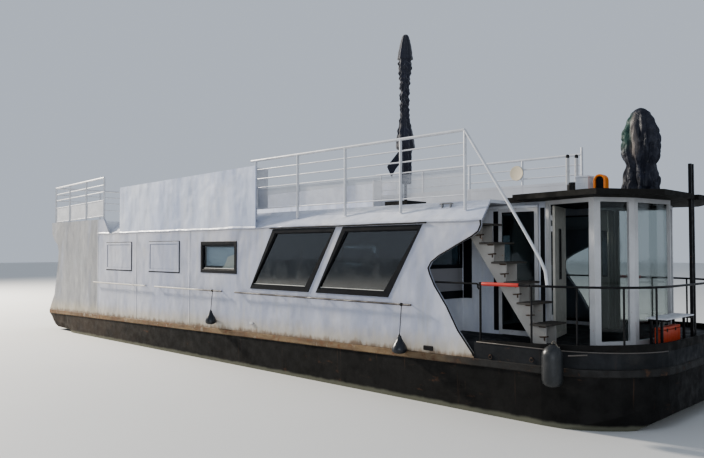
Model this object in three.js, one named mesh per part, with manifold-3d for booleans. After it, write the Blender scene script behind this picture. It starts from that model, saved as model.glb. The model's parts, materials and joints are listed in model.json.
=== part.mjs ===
// Steel houseboat: black flat-bottomed hull, white deckhouse, roof terrace and glazed bow cabin.
// Millimetres, +X to the bow, +Y to port, +Z up, hull bottom at z = 0, box centre over the origin.
import * as THREE from 'three';
import { mergeVertices } from 'three/addons/utils/BufferGeometryUtils.js';
import Module from 'manifold-3d';

const wasm = await Module();
wasm.setup();

// Driving dimensions. Heights are above the hull bottom, which floats 500 under the water.
const GAP = 0.3;                 // between pieces that touch
const HALF_BEAM = 2115;          // outer face of the side walls
const WALL = 50;                 // thickness of walls, roof and bulkheads
const STERN_X = -8650;
const BOW_X = 8600;
const WALL_FRONT_X = 6260;       // lower front corner of the side walls
const SHEER_STERN = 1070;        // top of the hull at the stern
const SHEER_FRONT = 1270;        // top of the hull at WALL_FRONT_X
const DECK_Z = 1500;             // foredeck
const CREASE_Z = 3230;           // top of the vertical side wall
const ROOF_Z = 3500;             // underside of the roof
const ROOF_TOP = ROOF_Z + WALL;
const ROOF_HALF = 1620;          // inner edge of the sloping shoulders
const POOP_FRONT_X = -5200;      // forward end of the part whose walls reach the roof
const BULKHEAD_X = 5300;         // aft face of the saloon's front bulkhead
const ROOF_FRONT_X = 6230;
const RAIL_TOP = 4590;
const RAIL_HALF = 1865;          // terrace rails, on the shoulders
const BOW_RAIL_Z = 2320;

const sheer = (x) => SHEER_STERN
  + (x - STERN_X) * (SHEER_FRONT - SHEER_STERN) / (WALL_FRONT_X - STERN_X);

// Colours and finishes.
const paint = (color, roughness = 0.5, metalness = 0.1) => ({ color, roughness, metalness });
const WHITE = paint(0xd6d8dc);
const HULL_BLACK = paint(0x23211f, 0.75);
const RUST = paint(0x7a4a2c, 0.9);
const ROOF_BLACK = paint(0x202020, 0.6);
const RAIL_GREY = paint(0xc9cbcd, 0.45, 0.3);
const FRAME_DARK = paint(0x2a2422, 0.5);
const GLASS = paint(0x8fa3a6, 0.05, 0);
const CREAM = paint(0xd8cfb8, 0.6);
const RUBBER = paint(0x2c2f33, 0.8, 0);
const BRONZE = paint(0x9a7440, 0.4, 0.8);
const CLOTH = paint(0x14171f, 0.95, 0);

const boat = new THREE.Group();

function add(name, geometry, finish) {
  const mesh = new THREE.Mesh(geometry, new THREE.MeshStandardMaterial(finish));
  mesh.name = name;
  boat.add(mesh);
  return mesh;
}

// A closed geometry as a solid for joining and cutting.
function solidOf(geometry) {
  const bare = geometry.clone();
  for (const key of Object.keys(bare.attributes)) {
    if (key !== 'position') bare.deleteAttribute(key);
  }
  const merged = mergeVertices(bare, 0.02);
  const index = merged.index.array;
  const triVerts = [];
  for (let i = 0; i < index.length; i += 3) {
    const [a, b, c] = index.subarray(i, i + 3);
    if (a !== b && b !== c && c !== a) triVerts.push(a, b, c);
  }
  const mesh = new wasm.Mesh({
    numProp: 3,
    vertProperties: new Float32Array(merged.attributes.position.array),
    triVerts: new Uint32Array(triVerts),
  });
  return new wasm.Manifold(mesh);
}

function geometryOf(solid) {
  const mesh = solid.getMesh();
  const geometry = new THREE.BufferGeometry();
  geometry.setAttribute('position', new THREE.BufferAttribute(mesh.vertProperties, 3));
  geometry.setIndex(new THREE.BufferAttribute(mesh.triVerts, 1));
  return geometry;
}

const join = (pieces) => geometryOf(pieces.map(solidOf).reduce((all, next) => all.add(next)));

const cut = (base, tools) => geometryOf(
  tools.map(solidOf).reduce((left, tool) => left.subtract(tool), solidOf(base)));

// A solid through sections of equal point counts, each section a ring of Vector3.
function loft(sections) {
  const count = sections[0].length;
  const points = sections.flat();
  const faces = [];
  for (let s = 0; s < sections.length - 1; s += 1) {
    for (let i = 0; i < count; i += 1) {
      const a = s * count + i;
      const b = s * count + (i + 1) % count;
      faces.push(a, b, b + count, a, b + count, a + count);
    }
  }
  const last = (sections.length - 1) * count;
  for (let i = 1; i < count - 1; i += 1) {
    faces.push(0, i + 1, i, last, last + i, last + i + 1);
  }
  const volume = faces.reduce((sum, _, k) => (k % 3 ? sum : sum + points[faces[k]].dot(
    new THREE.Vector3().crossVectors(points[faces[k + 1]], points[faces[k + 2]]))), 0);
  if (volume < 0) faces.reverse();
  const geometry = new THREE.BufferGeometry().setFromPoints(points);
  geometry.setIndex(faces);
  return geometry;
}

const vec = (x, y, z) => new THREE.Vector3(x, y, z);

function box(x0, x1, y0, y1, z0, z1) {
  const geometry = new THREE.BoxGeometry(x1 - x0, y1 - y0, z1 - z0);
  return geometry.translate((x0 + x1) / 2, (y0 + y1) / 2, (z0 + z1) / 2);
}

// Outline of [u, v] pairs as a plate between two values of the third axis, with holes cut through.
function plate(outline, from, to, plane, holes = []) {
  const shape = new THREE.Shape(outline.map(([u, v]) => new THREE.Vector2(u, v)));
  const geometry = new THREE.ExtrudeGeometry(shape, { depth: to - from, bevelEnabled: false });
  if (plane === 'xy') geometry.translate(0, 0, from);
  if (plane === 'xz') geometry.rotateX(Math.PI / 2).translate(0, to, 0);
  if (plane === 'yz') {
    const turn = new THREE.Matrix4().makeBasis(vec(0, 1, 0), vec(0, 0, 1), vec(1, 0, 0));
    geometry.applyMatrix4(turn).translate(from, 0, 0);
  }
  if (!holes.length) return geometry;
  return cut(geometry, holes.map((hole) => plate(hole, from - 1, to + 1, plane)));
}

// A straight round bar between two points.
function bar(a, b, radius, sides = 8) {
  const length = a.distanceTo(b);
  const geometry = new THREE.CylinderGeometry(radius, radius, length, sides);
  const along = b.clone().sub(a).normalize();
  geometry.applyQuaternion(new THREE.Quaternion().setFromUnitVectors(vec(0, 1, 0), along));
  return geometry.translate((a.x + b.x) / 2, (a.y + b.y) / 2, (a.z + b.z) / 2);
}

// A bent tube along points, one piece, cut square at its ends.
function tube(points, radius, sides = 8) {
  const sections = points.map((point, i) => {
    const before = points[Math.max(i - 1, 0)];
    const after = points[Math.min(i + 1, points.length - 1)];
    const along = after.clone().sub(before).normalize();
    const side = Math.abs(along.z) > 0.95 ? vec(1, 0, 0) : vec(0, 0, 1);
    const u = new THREE.Vector3().crossVectors(along, side).normalize();
    const v = new THREE.Vector3().crossVectors(along, u);
    return Array.from({ length: sides }, (_, k) => {
      const angle = (k + 0.5) * 2 * Math.PI / sides;
      return point.clone()
        .addScaledVector(u, radius * Math.cos(angle))
        .addScaledVector(v, radius * Math.sin(angle));
    });
  });
  return loft(sections);
}

const SIDES = [
  { name: 'starboard', sign: -1 },
  { name: 'port', sign: 1 },
];

// Hull: stations from stern to bow, bottom height and half widths.
const BOW_CORNER = { x: 7300, y: 900, rx: 1300, ry: 1205 };   // quarter ellipse of the deck's bow corner
function deckHalf(x, inset = 0) {
  const { x: cx, y: cy, rx, ry } = BOW_CORNER;
  if (x <= cx) return cy + ry - inset;
  const t = Math.min((x - cx) / (rx - inset), 1);
  return cy + (ry - inset) * Math.sqrt(1 - t * t);
}

const COUNTER = { x: -7500, z: 560 };       // underside over the propeller
const BOW_RAKE = { x: 6600, z: 700 };       // start of the raised bottom, and its height at the stem
const BAND = { proud: 20, height: 110 };    // rubbing band under the sheer
function hull() {
  // columns: x, bottom height, bottom half width as a share of the sheer's
  const stern = [
    [STERN_X, 900, 0.98], [-8560, 760, 0.97], [-8450, 640, 0.96], [-8300, 580, 0.95],
    [COUNTER.x, COUNTER.z, 0.95], [-7250, 260, 0.93], [-6900, 0, 0.91], [BOW_RAKE.x, 0, 0.91],
  ];
  const bow = edgePath(BOW_RAKE.x, 0).filter(([x, y]) => y > 0 && x >= BOW_CORNER.x)
    .map(([x]) => [x, BOW_RAKE.z * ((x - BOW_RAKE.x) / (BOW_X - BOW_RAKE.x)) ** 2, 0.9]);
  const BILGE = 0.3;             // height of the bilge chamfer as a share of the side
  return loft([...stern, ...bow.reverse()].map(([x, zb, share]) => {
    const top = deckHalf(x);
    const zs = sheer(x);
    const zm = zb + (zs - zb) * BILGE;
    const zv = zs - BAND.height - 5;
    const half = [[top * share, zb], [top * 0.985, Math.min(zm, zv - 5)], [top, zv], [top, zs]];
    const right = half.map(([y, z]) => vec(x, y, z));
    const left = half.map(([y, z]) => vec(x, -y, z)).reverse();
    return [...right, ...left];
  }));
}
// Points along the deck's edge from one side round the bow to the other.
function edgePath(fromX, inset, steps = 8) {
  const { x: cx, y: cy, rx, ry } = BOW_CORNER;
  const side = [[fromX, cy + ry - inset], [cx, cy + ry - inset]];
  for (let i = 1; i <= steps; i += 1) {
    const angle = Math.PI / 2 * (1 - i / steps);
    side.push([cx + (rx - inset) * Math.cos(angle), cy + (ry - inset) * Math.sin(angle)]);
  }
  return [...side.map(([x, y]) => [x, -y]), ...side.reverse()];
}

add('hull', hull(), HULL_BLACK);

function band() {
  const inner = edgePath(STERN_X + 10, -GAP);
  const outer = edgePath(STERN_X + 10, -GAP - BAND.proud);
  return loft(inner.map(([x, y], i) => {
    const [ox, oy] = outer[i];
    const top = sheer(x);
    const foot = top - BAND.height;
    return [vec(x, y, top), vec(x, y, foot), vec(ox, oy, foot + 15), vec(ox, oy, top - 10)];
  }));
}
add('rubbing_band', band(), RUST);

function foredeck() {
  const outline = [[BULKHEAD_X, -(HALF_BEAM - WALL - GAP)], [WALL_FRONT_X + GAP, -(HALF_BEAM - WALL - GAP)],
    ...edgePath(WALL_FRONT_X + GAP, 0),
    [WALL_FRONT_X + GAP, HALF_BEAM - WALL - GAP], [BULKHEAD_X, HALF_BEAM - WALL - GAP]];
  const geometry = plate(outline, 0, DECK_Z, 'xy');
  const position = geometry.attributes.position;
  for (let i = 0; i < position.count; i += 1) {
    if (position.getZ(i) < 1) position.setZ(i, sheer(position.getX(i)) + GAP);
  }
  return geometry;
}
add('foredeck', foredeck(), HULL_BLACK);

const TOE = { thick: 35, aft: 30, bow: 110 };   // height above the deck at the walls and at the bow
function toeRail() {
  const outer = edgePath(WALL_FRONT_X + 60, 0);
  const inner = edgePath(WALL_FRONT_X + 60, TOE.thick);
  return loft(outer.map(([x, y], i) => {
    const [ix, iy] = inner[i];
    const share = (x - WALL_FRONT_X) / (BOW_X - WALL_FRONT_X);
    const top = DECK_Z + TOE.aft + (TOE.bow - TOE.aft) * share;
    return [vec(x, y, DECK_Z + GAP), vec(ix, iy, DECK_Z + GAP), vec(ix, iy, top), vec(x, y, top)];
  }));
}
add('toe_rail', toeRail(), HULL_BLACK);

// Stern gear: skeg with stern tube, propeller and rudder, all above the flat bottom.
const SHAFT_Z = 275;
const PROP_X = -7700;
const STERN_TUBE_X = -7600;
const RUDDER_X = -8060;
add('skeg', join([
  box(-8200, -7180, -30, 30, 12, 52),
  plate([[-7540, 50], [-7540, 330], [-7309, 330], [-7250, 259.5], [-6969, 50]], -25, 25, 'xz'),
  bar(vec(STERN_TUBE_X, 0, SHAFT_Z), vec(-7320, 0, SHAFT_Z), 45, 12),
]), HULL_BLACK);

function propeller() {
  const BLADES = 3;
  const parts = [bar(vec(PROP_X - 60, 0, SHAFT_Z), vec(PROP_X + 60, 0, SHAFT_Z), 42, 12),
    bar(vec(PROP_X + 50, 0, SHAFT_Z), vec(STERN_TUBE_X - GAP, 0, SHAFT_Z), 18, 8)];
  for (let i = 0; i < BLADES; i += 1) {
    const blade = plate([[-18, 30], [-95, 110], [-80, 185], [0, 215], [80, 185], [95, 110], [18, 30]],
      -6, 6, 'yz');
    blade.rotateZ(0.55).rotateX(i * 2 * Math.PI / BLADES).translate(PROP_X, 0, SHAFT_Z);
    parts.push(blade);
  }
  return join(parts);
}
add('propeller', propeller(), BRONZE);

add('rudder', join([
  plate([[-8360, 90], [-7920, 90], [-7920, 520], [-8360, 480]], -15, 15, 'xz'),
  bar(vec(RUDDER_X, 0, 52.3), vec(RUDDER_X, 0, 573), 24, 12),
]), HULL_BLACK);

// Side walls with window openings, the flared stern edge and the cut-out at the deck entrance.
const STERN_EDGE = [[-8560, 3590], [-8535, 3260], [-8380, 3080], [-8160, 2960], [-8070, 2770],
  [-8100, 2450], [-8160, 2200], [-8330, 1520], [-8630, 1110]];
const CUT_OUT = [
  [6236, 1333], [5977, 1642], [5776, 1980], [5556, 2273], [5470, 2440], [5440, 2528], [5500, 2626],
  [5645, 2721], [6230, 3000],
  [6340, 3069], [6385, 3160], [6375, CREASE_Z]];
const wallOutline = () => [
  ...STERN_EDGE, [STERN_X, sheer(STERN_X) + GAP], [WALL_FRONT_X, sheer(WALL_FRONT_X) + GAP], ...CUT_OUT,
  [POOP_FRONT_X + 250, CREASE_Z], [POOP_FRONT_X - 50, 3600],
];

// columns: name, lower corners' x, upper corners' x, bottom z, top z
const WINDOWS = [
  { name: 'window_aft', low: [-700, 590], high: [-700, 590], z: [2320, 2980] },
  { name: 'window_middle', low: [1040, 2740], high: [1740, 3440], z: [2050, 3190] },
  { name: 'window_forward', low: [2940, 4640], high: [3620, 5340], z: [2050, 3190] },
];
const corners = ({ low, high, z }, inset = 0) => [
  [low[0] + inset, z[0] + inset], [low[1] - inset, z[0] + inset],
  [high[1] - inset, z[1] - inset], [high[0] + inset, z[1] - inset],
];

// Grab rails on stand-offs; columns: aft end, forward end, number of stand-offs.
const GRAB = { z: 1960, off: 75, radius: 16 };
const GRAB_RAILS = [[-5650, -2950, 5], [-2500, 160, 5], [630, 5170, 8]];
function grabRails(sign) {
  const y = sign * (HALF_BEAM + GRAB.off);
  return GRAB_RAILS.flatMap(([x0, x1, feet]) => [
    bar(vec(x0, y, GRAB.z), vec(x1, y, GRAB.z), GRAB.radius),
    ...Array.from({ length: feet }, (_, i) => {
      const x = x0 + 60 + i * (x1 - x0 - 120) / (feet - 1);
      return bar(vec(x, sign * (HALF_BEAM - 10), GRAB.z), vec(x, y, GRAB.z), 10, 6);
    }),
  ]);
}

for (const { name, sign } of SIDES) {
  const y0 = sign < 0 ? -HALF_BEAM : HALF_BEAM - WALL;
  const wall = plate(wallOutline(), y0, y0 + WALL, 'xz', WINDOWS.map((w) => corners(w)));
  add(`side_wall_${name}`, join([wall, ...grabRails(sign)]), WHITE);
  for (const window of WINDOWS) {
    const FRAME = { width: 90, proud: 14, pane: 12 };
    const frame = plate(corners(window, GAP), -WALL, FRAME.proud, 'xz', [corners(window, FRAME.width)]);
    const [inner, outer] = [-(WALL + FRAME.pane) / 2, -(WALL - FRAME.pane) / 2];
    const pane = plate(corners(window, FRAME.width - 10), inner, outer, 'xz');
    const geometry = join([frame, pane]);
    if (sign < 0) geometry.rotateZ(Math.PI).scale(-1, 1, 1);
    const placed = sign < 0 ? flip(geometry) : geometry;
    add(`${window.name}_${name}`, placed.translate(0, sign * HALF_BEAM, 0), FRAME_DARK);
  }
}

// Turns the faces of a mirrored geometry round again.
function flip(geometry) {
  const index = geometry.index.array;
  for (let i = 0; i < index.length; i += 3) [index[i], index[i + 1]] = [index[i + 1], index[i]];
  return geometry;
}

// Stern wall: the side walls' stern edge as a bent plate between them.
function sternWall() {
  const outer = [...STERN_EDGE, [STERN_X + 20, sheer(STERN_X + 20 + WALL) + GAP]];
  const inner = outer.map(([x, z]) => [x + WALL, z]).reverse();
  const half = HALF_BEAM - WALL - GAP;
  return plate([...outer, ...inner], -half, half, 'xz');
}
add('stern_wall', sternWall(), WHITE);

// Roof, its sloping shoulders and the saloon's front bulkhead.
const aftRoofHalf = HALF_BEAM - WALL - GAP;
const AFT_ROOF_X = -8502;
const roofPlan = [
  [AFT_ROOF_X, -aftRoofHalf], [POOP_FRONT_X, -aftRoofHalf], [POOP_FRONT_X, -ROOF_HALF + GAP],
  [ROOF_FRONT_X, -ROOF_HALF + GAP], [ROOF_FRONT_X, ROOF_HALF - GAP],
  [POOP_FRONT_X, ROOF_HALF - GAP], [POOP_FRONT_X, aftRoofHalf], [AFT_ROOF_X, aftRoofHalf],
];
// the aft roof's ends are closed down to the crease
const roofEnds = SIDES.map(({ sign }) => plate([
  [sign * aftRoofHalf, CREASE_Z - 40], [sign * aftRoofHalf, ROOF_Z + 1], [sign * ROOF_HALF, ROOF_Z + 1],
], POOP_FRONT_X - 30, POOP_FRONT_X, 'yz'));
add('roof_deck', join([plate(roofPlan, ROOF_Z, ROOF_TOP, 'xy'), ...roofEnds]), WHITE);

for (const { name, sign } of SIDES) {
  const outerY = sign * (HALF_BEAM - WALL - GAP);
  const innerY = sign * ROOF_HALF;
  const section = (outerX, innerX) => [
    vec(outerX, outerY, CREASE_Z - 40), vec(outerX, outerY, CREASE_Z + 10),
    vec(innerX, innerY, ROOF_TOP), vec(innerX, innerY, ROOF_Z),
  ];
  const aftX = POOP_FRONT_X + GAP;
  add(`roof_shoulder_${name}`, loft([section(aftX, aftX), section(6375, ROOF_FRONT_X)]), WHITE);
}

const innerHalf = HALF_BEAM - WALL - GAP;
add('saloon_bulkhead', plate([
  [-innerHalf, DECK_Z + GAP], [innerHalf, DECK_Z + GAP], [innerHalf, CREASE_Z - 41],
  [ROOF_HALF, ROOF_Z - 1], [-ROOF_HALF, ROOF_Z - 1], [-innerHalf, CREASE_Z - 41],
], BULKHEAD_X, BULKHEAD_X + WALL, 'yz', [
  [[-1960, 2545], [-1160, 2545], [-1160, 3150], [-1960, 3150]],
  [[1160, 2545], [1960, 2545], [1960, 3150], [1160, 3150]],
  [[-400, 1560], [400, 1560], [400, 3400], [-400, 3400]],
]), WHITE);

// Vestibule: a wall with a sliding glass door to starboard, one large fixed pane to port.
const CABIN_TOP = ROOF_Z + 18;   // top of the bow cabin's frame
const VESTIBULE = { half: 1100, x0: BULKHEAD_X + WALL + GAP, x1: 6875, doorTop: 3405 };
const SLIDING = { from: 6080, to: 6700, lap: 30, frame: 60, thick: 34, clear: 8, travel: 640, track: 36 };
const vestibuleTop = [
  [VESTIBULE.x1, CABIN_TOP], [ROOF_FRONT_X + GAP, CABIN_TOP], [ROOF_FRONT_X + GAP, ROOF_Z - GAP],
  [VESTIBULE.x0, ROOF_Z - GAP],
];
{
  const outer = -VESTIBULE.half;
  const { x0, x1, doorTop } = VESTIBULE;
  const { from, to, lap, frame, thick, clear, travel, track } = SLIDING;
  const wall = plate([
    [x0, DECK_Z + GAP], [from, DECK_Z + GAP], [from, doorTop], [to, doorTop], [to, DECK_Z + GAP],
    [x1, DECK_Z + GAP], ...vestibuleTop,
  ], outer, outer + WALL, 'xz');
  const [dx0, dx1] = [from - lap, to + lap];
  const [dz0, dz1] = [DECK_Z + 12, doorTop + lap];
  add('vestibule_wall_starboard', join([wall,
    box(dx0 - travel, dx1, outer - clear - thick - 4, outer + 1, dz1 + GAP, dz1 + track)]), WHITE);
  const leaf = cut(box(dx0, dx1, 0, thick, dz0, dz1), [
    box(dx0 + frame, dx1 - frame, -1, 12, dz0 + frame, dz1 - frame),
    box(dx0 + frame, dx1 - frame, 22, thick + 1, dz0 + frame, dz1 - frame),
  ]);
  add('sliding_door_starboard', leaf.translate(0, outer - clear - thick, 0), WHITE);
}
const PANE = { x0: 5480, x1: 6790, z0: DECK_Z + 60, z1: 3405, in: 20, thick: 10 };
add('vestibule_wall_port', plate([
  [VESTIBULE.x0, DECK_Z + GAP], [VESTIBULE.x1, DECK_Z + GAP], ...vestibuleTop,
], VESTIBULE.half - WALL, VESTIBULE.half, 'xz', [
  [[PANE.x0, PANE.z0], [PANE.x1, PANE.z0], [PANE.x1, PANE.z1], [PANE.x0, PANE.z1]],
]), WHITE);
add('vestibule_pane_port', box(PANE.x0 + GAP, PANE.x1 - GAP, VESTIBULE.half - PANE.in - PANE.thick,
  VESTIBULE.half - PANE.in, PANE.z0 + GAP, PANE.z1 - GAP), GLASS);

// Bow cabin: frame round a polygon, glass inside it, doorways on both sides, flat roof.
const CABIN = {
  corners: [[6870, -1160], [7735, -1420], [8058, -885], [8217, 0]],   // starboard half, to the centreline
  portCorner: [7860, 885],       // the front falls back to port
  sill: 60, header: 60, top: CABIN_TOP, depth: 50, post: [60, 95, 85, 24],
};
const cabinLine = [
  ...CABIN.corners, CABIN.portCorner, ...CABIN.corners.slice(0, 2).map(([x, y]) => [x, -y]).reverse(),
];
const HINGE = { open: 122 * Math.PI / 180, along: CABIN.post[0] + 8, in: CABIN.depth + 8, pin: 9 };
const KNUCKLES = [1700, 3150];   // heights of the leaf's knuckles
const KNUCKLE_LONG = 80;
const [doorFrom, doorTo] = CABIN.corners;
const hingeAngle = Math.atan2(doorTo[1] - doorFrom[1], doorTo[0] - doorFrom[0]);
const hingePin = [
  CABIN.corners[0][0] + HINGE.along * Math.cos(hingeAngle) - HINGE.in * Math.sin(hingeAngle),
  CABIN.corners[0][1] + HINGE.along * Math.sin(hingeAngle) + HINGE.in * Math.cos(hingeAngle),
];
function insetLine(line, distance) {
  return line.map((point, i) => {
    const before = line[Math.max(i - 1, 0)];
    const after = line[Math.min(i + 1, line.length - 1)];
    const unit = (p, q) => {
      const length = Math.hypot(q[0] - p[0], q[1] - p[1]);
      return [-(q[1] - p[1]) / length, (q[0] - p[0]) / length];
    };
    const n1 = i === 0 ? unit(point, after) : unit(before, point);
    const n2 = i === line.length - 1 ? unit(before, point) : unit(point, after);
    const dot = 1 + n1[0] * n2[0] + n1[1] * n2[1];
    return [point[0] + distance * (n1[0] + n2[0]) / dot, point[1] + distance * (n1[1] + n2[1]) / dot];
  });
}
const towards = (a, b, distance) => {
  const length = Math.hypot(b[0] - a[0], b[1] - a[1]);
  return [a[0] + (b[0] - a[0]) * distance / length, a[1] + (b[1] - a[1]) * distance / length];
};
function cabinFrame() {
  const { sill, header, top, depth, post } = CABIN;
  const ring = (line, outer, inner) => [...insetLine(line, outer), ...insetLine(line, inner).reverse()];
  const parts = [
    plate(ring(cabinLine, 0, depth), top - header, top, 'xy'),
    plate(ring(cabinLine.slice(1, -1), 1, depth - 1), DECK_Z + GAP, DECK_Z + sill, 'xy'),
  ];
  const widths = [...post, ...post.slice(0, -1).reverse()];
  const [face, back] = [insetLine(cabinLine, 2), insetLine(cabinLine, depth - 2)];
  // the sides of a post stand square to the frame
  const behind = ([x, y], [ax, ay], [bx, by]) => {
    const share = (depth - 4) / Math.hypot(bx - ax, by - ay);
    return [x - (by - ay) * share, y + (bx - ax) * share];
  };
  widths.forEach((width, i) => {
    const outline = [face[i]];
    if (i < widths.length - 1) {
      const side = towards(face[i], face[i + 1], width);
      outline.push(side, behind(side, face[i], face[i + 1]));
    }
    outline.push(back[i]);
    if (i > 0) {
      const side = towards(face[i], face[i - 1], width);
      outline.push(behind(side, face[i - 1], face[i]), side);
    }
    parts.push(plate(outline, DECK_Z + GAP, top - 20, 'xy'));
  });
  for (const sign of [-1, 1]) {
    for (const z of KNUCKLES) {
      for (const z0 of [z - KNUCKLE_LONG, z + KNUCKLE_LONG + GAP]) {
        const z1 = z0 + KNUCKLE_LONG - GAP;
        const [px, py] = hingePin;
        const tab = box(-12, 2, -12, 2, z0, z1).rotateZ(hingeAngle).translate(px, py, 0);
        parts.push(sign < 0 ? tab : flip(tab.scale(1, -1, 1)));
        parts.push(bar(vec(px, -sign * py, z0), vec(px, -sign * py, z1), HINGE.pin));
      }
    }
  }
  return join(parts);
}
add('bow_cabin_frame', cabinFrame(), WHITE);

const GLASS_LAP = 65;            // the glass starts this far inside the doorway's post
const glassLine = cabinLine.slice(1, -1);
const lastPane = glassLine.length - 1;
glassLine[0] = towards(cabinLine[1], cabinLine[2], GLASS_LAP);
glassLine[lastPane] = towards(cabinLine[lastPane + 1], cabinLine[lastPane], GLASS_LAP);
const glassFront = insetLine(glassLine, CABIN.depth + GAP);
const glassBack = insetLine(glassLine, CABIN.depth + GAP + 10);
add('bow_cabin_glass', loft(glassFront.map((p, i) => {
  const q = glassBack[i];
  const [z0, z1] = [DECK_Z + 30, CABIN.top - 20];
  return [vec(p[0], p[1], z0), vec(q[0], q[1], z0), vec(q[0], q[1], z1), vec(p[0], p[1], z1)];
})), GLASS);

const BOW_ROOF = {
  thick: 75,
  edge: [
    [ROOF_FRONT_X + GAP, -1180], [6590, -1180], [6615, -1645], [7984, -1880], [8254, -1428], [8550, -1115],
  ],
  notch: [[8550, -20], [8430, -20], [8430, 160], [8550, 160]],   // round the mast
};
add('bow_roof', plate([
  ...BOW_ROOF.edge, ...BOW_ROOF.notch, ...BOW_ROOF.edge.map(([x, y]) => [x, -y]).reverse(),
], CABIN.top + GAP, CABIN.top + GAP + BOW_ROOF.thick, 'xy'), ROOF_BLACK);

// Hinged glass doors of the bow cabin, shown open. The pin stands at the frame's inner face.
function bowDoor() {
  const { corners: [a, b], post, header, top } = CABIN;
  const length = Math.hypot(b[0] - a[0], b[1] - a[1]) - post[1] - HINGE.along - 8;
  const [z0, z1] = [DECK_Z + 14, top - header - 10];
  const leaf = cut(box(15, length, -38, -2, z0, z1), [
    box(70, length - 55, -39, -26, z0 + 55, z1 - 55), box(70, length - 55, -14, 0, z0 + 55, z1 - 55),
  ]);
  return join([leaf, ...KNUCKLES.flatMap((z) => [
    bar(vec(0, 0, z), vec(0, 0, z + KNUCKLE_LONG), HINGE.pin), box(-2, 18, -9, -3, z, z + KNUCKLE_LONG)])]);
}
for (const { name, sign } of SIDES) {
  const geometry = bowDoor().rotateZ(hingeAngle + HINGE.open).translate(hingePin[0], hingePin[1], 0);
  if (sign > 0) flip(geometry.scale(1, -1, 1));
  add(`bow_door_${name}`, geometry, WHITE);
}

// Terrace: windbreaks, rails on the shoulders, perforated panels, stern rail.
const shoulderZ = (half) => CREASE_Z + 10
  + (HALF_BEAM - WALL - GAP - half) * (ROOF_TOP - CREASE_Z - 10) / (HALF_BEAM - WALL - GAP - ROOF_HALF);
const RAIL_POSTS = [880, 2155, 3420, 4690, 5950];
const RAIL_BAR = { post: 24, top: 25, mid: 13, ends: 150 };
const MIDS = [4215, 4400];
const SCREEN = { inner: 1570, z0: 3640, z1: 4450 };   // sheet across the rail's aft end
const DISH = { x: 4578, z: 4338, radius: 150 };
// The starboard rail goes on as the stair's handrail, down to the bow rail.
const STAIR_HANDRAIL = [
  vec(5945, -RAIL_HALF, RAIL_TOP), vec(6223, -1901, 4197), vec(6505, -1937, 3795), vec(6779, -1973, 3411),
  vec(7032, -2009, 3044), vec(7270, -2038, 2685), vec(7350, -2043, 2520), vec(7374, -2043, BOW_RAIL_Z + 17.8),
];
for (const { name, sign } of SIDES) {
  const y = sign * (HALF_BEAM - 30);
  add(`windbreak_${name}`, plate([
    [-4410, CREASE_Z + GAP], [1160, CREASE_Z + GAP], [1160, 4450], [-4410, 4370],
  ], y - 12, y + 12, 'xz'), WHITE);
  const ry = sign * RAIL_HALF;
  const front = RAIL_POSTS.length - 1;
  const topOf = (i) => RAIL_TOP + (sign > 0 && i === front ? 130 : 0);
  const posts = RAIL_POSTS.map((x, i) => bar(
    vec(x, ry, shoulderZ(RAIL_HALF) + 17.2), vec(x, ry, topOf(i)), RAIL_BAR.post));
  const levels = [[RAIL_TOP, RAIL_BAR.top], ...MIDS.map((z) => [z, RAIL_BAR.mid]), [4040, 11], [3620, 11]];
  const rails = levels.map(([z, r]) => bar(
    vec(RAIL_POSTS[0] - RAIL_BAR.ends, ry, z), vec(RAIL_POSTS[front], ry, z), r));
  const extras = sign < 0 ? [tube(STAIR_HANDRAIL, 22)]
    : [bar(vec(DISH.x, ry - 32, DISH.z), vec(DISH.x, ry - 6, DISH.z), DISH.radius, 24)];
  const screen = box(RAIL_POSTS[0] - 12, RAIL_POSTS[0] + 12, Math.min(ry, sign * SCREEN.inner),
    Math.max(ry, sign * SCREEN.inner), SCREEN.z0, SCREEN.z1);
  add(`terrace_rail_${name}`, join([...posts, ...rails, screen, ...extras]), RAIL_GREY);
  const panelY = ry - sign * (RAIL_BAR.post + GAP);
  const panelTop = sign < 0 ? 4020 : 4090;
  add(`perforated_panel_${name}`, box(RAIL_POSTS[0] + 30, RAIL_POSTS[front] - 30,
    Math.min(panelY, panelY - sign * 4), Math.max(panelY, panelY - sign * 4), 3640, panelTop), RAIL_GREY);
}

const POOP_RAIL = { x: [-8475, -7520, -6460, -5400], top: [4610, 4700], half: 2036, post: 28 };
// columns: how far under the top rail, radius
const POOP_BARS = [[0, 26], [190, 15], [370, 15], [590, 13], [1000, 13]];
const POOP_PANEL = [596, 994];   // sheet panel, under the top rail
{
  const { x: xs, top, half, post } = POOP_RAIL;
  const rise = (top[1] - top[0]) / (xs[3] - xs[0]);
  const topAt = (x) => top[0] + (x - xs[0]) * rise;
  for (const { name, sign } of SIDES) {
    const y = sign * half;
    add(`stern_rail_${name}`, join([
      ...xs.map((x) => bar(vec(x, y, ROOF_TOP + GAP), vec(x, y, topAt(x)), post)),
      ...POOP_BARS.map(([drop, r]) => bar(vec(xs[0], y, top[0] - drop), vec(xs[3], y, top[1] - drop), r)),
      plate([
        [xs[0], top[0] - POOP_PANEL[1]], [xs[3], top[1] - POOP_PANEL[1]],
        [xs[3], top[1] - POOP_PANEL[0]], [xs[0], top[0] - POOP_PANEL[0]],
      ], y - 2, y + 2, 'xz'),
    ]), RAIL_GREY);
  }
  const between = half - post - GAP;
  add('stern_rail_aft', join([
    ...POOP_BARS.map(([drop, r]) => bar(
      vec(xs[0], -between, top[0] - drop), vec(xs[0], between, top[0] - drop), r)),
    ...[-700, 700].map((y) => bar(vec(xs[0], y, ROOF_TOP + GAP), vec(xs[0], y, top[0]), post)),
  ]), RAIL_GREY);
}


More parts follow.
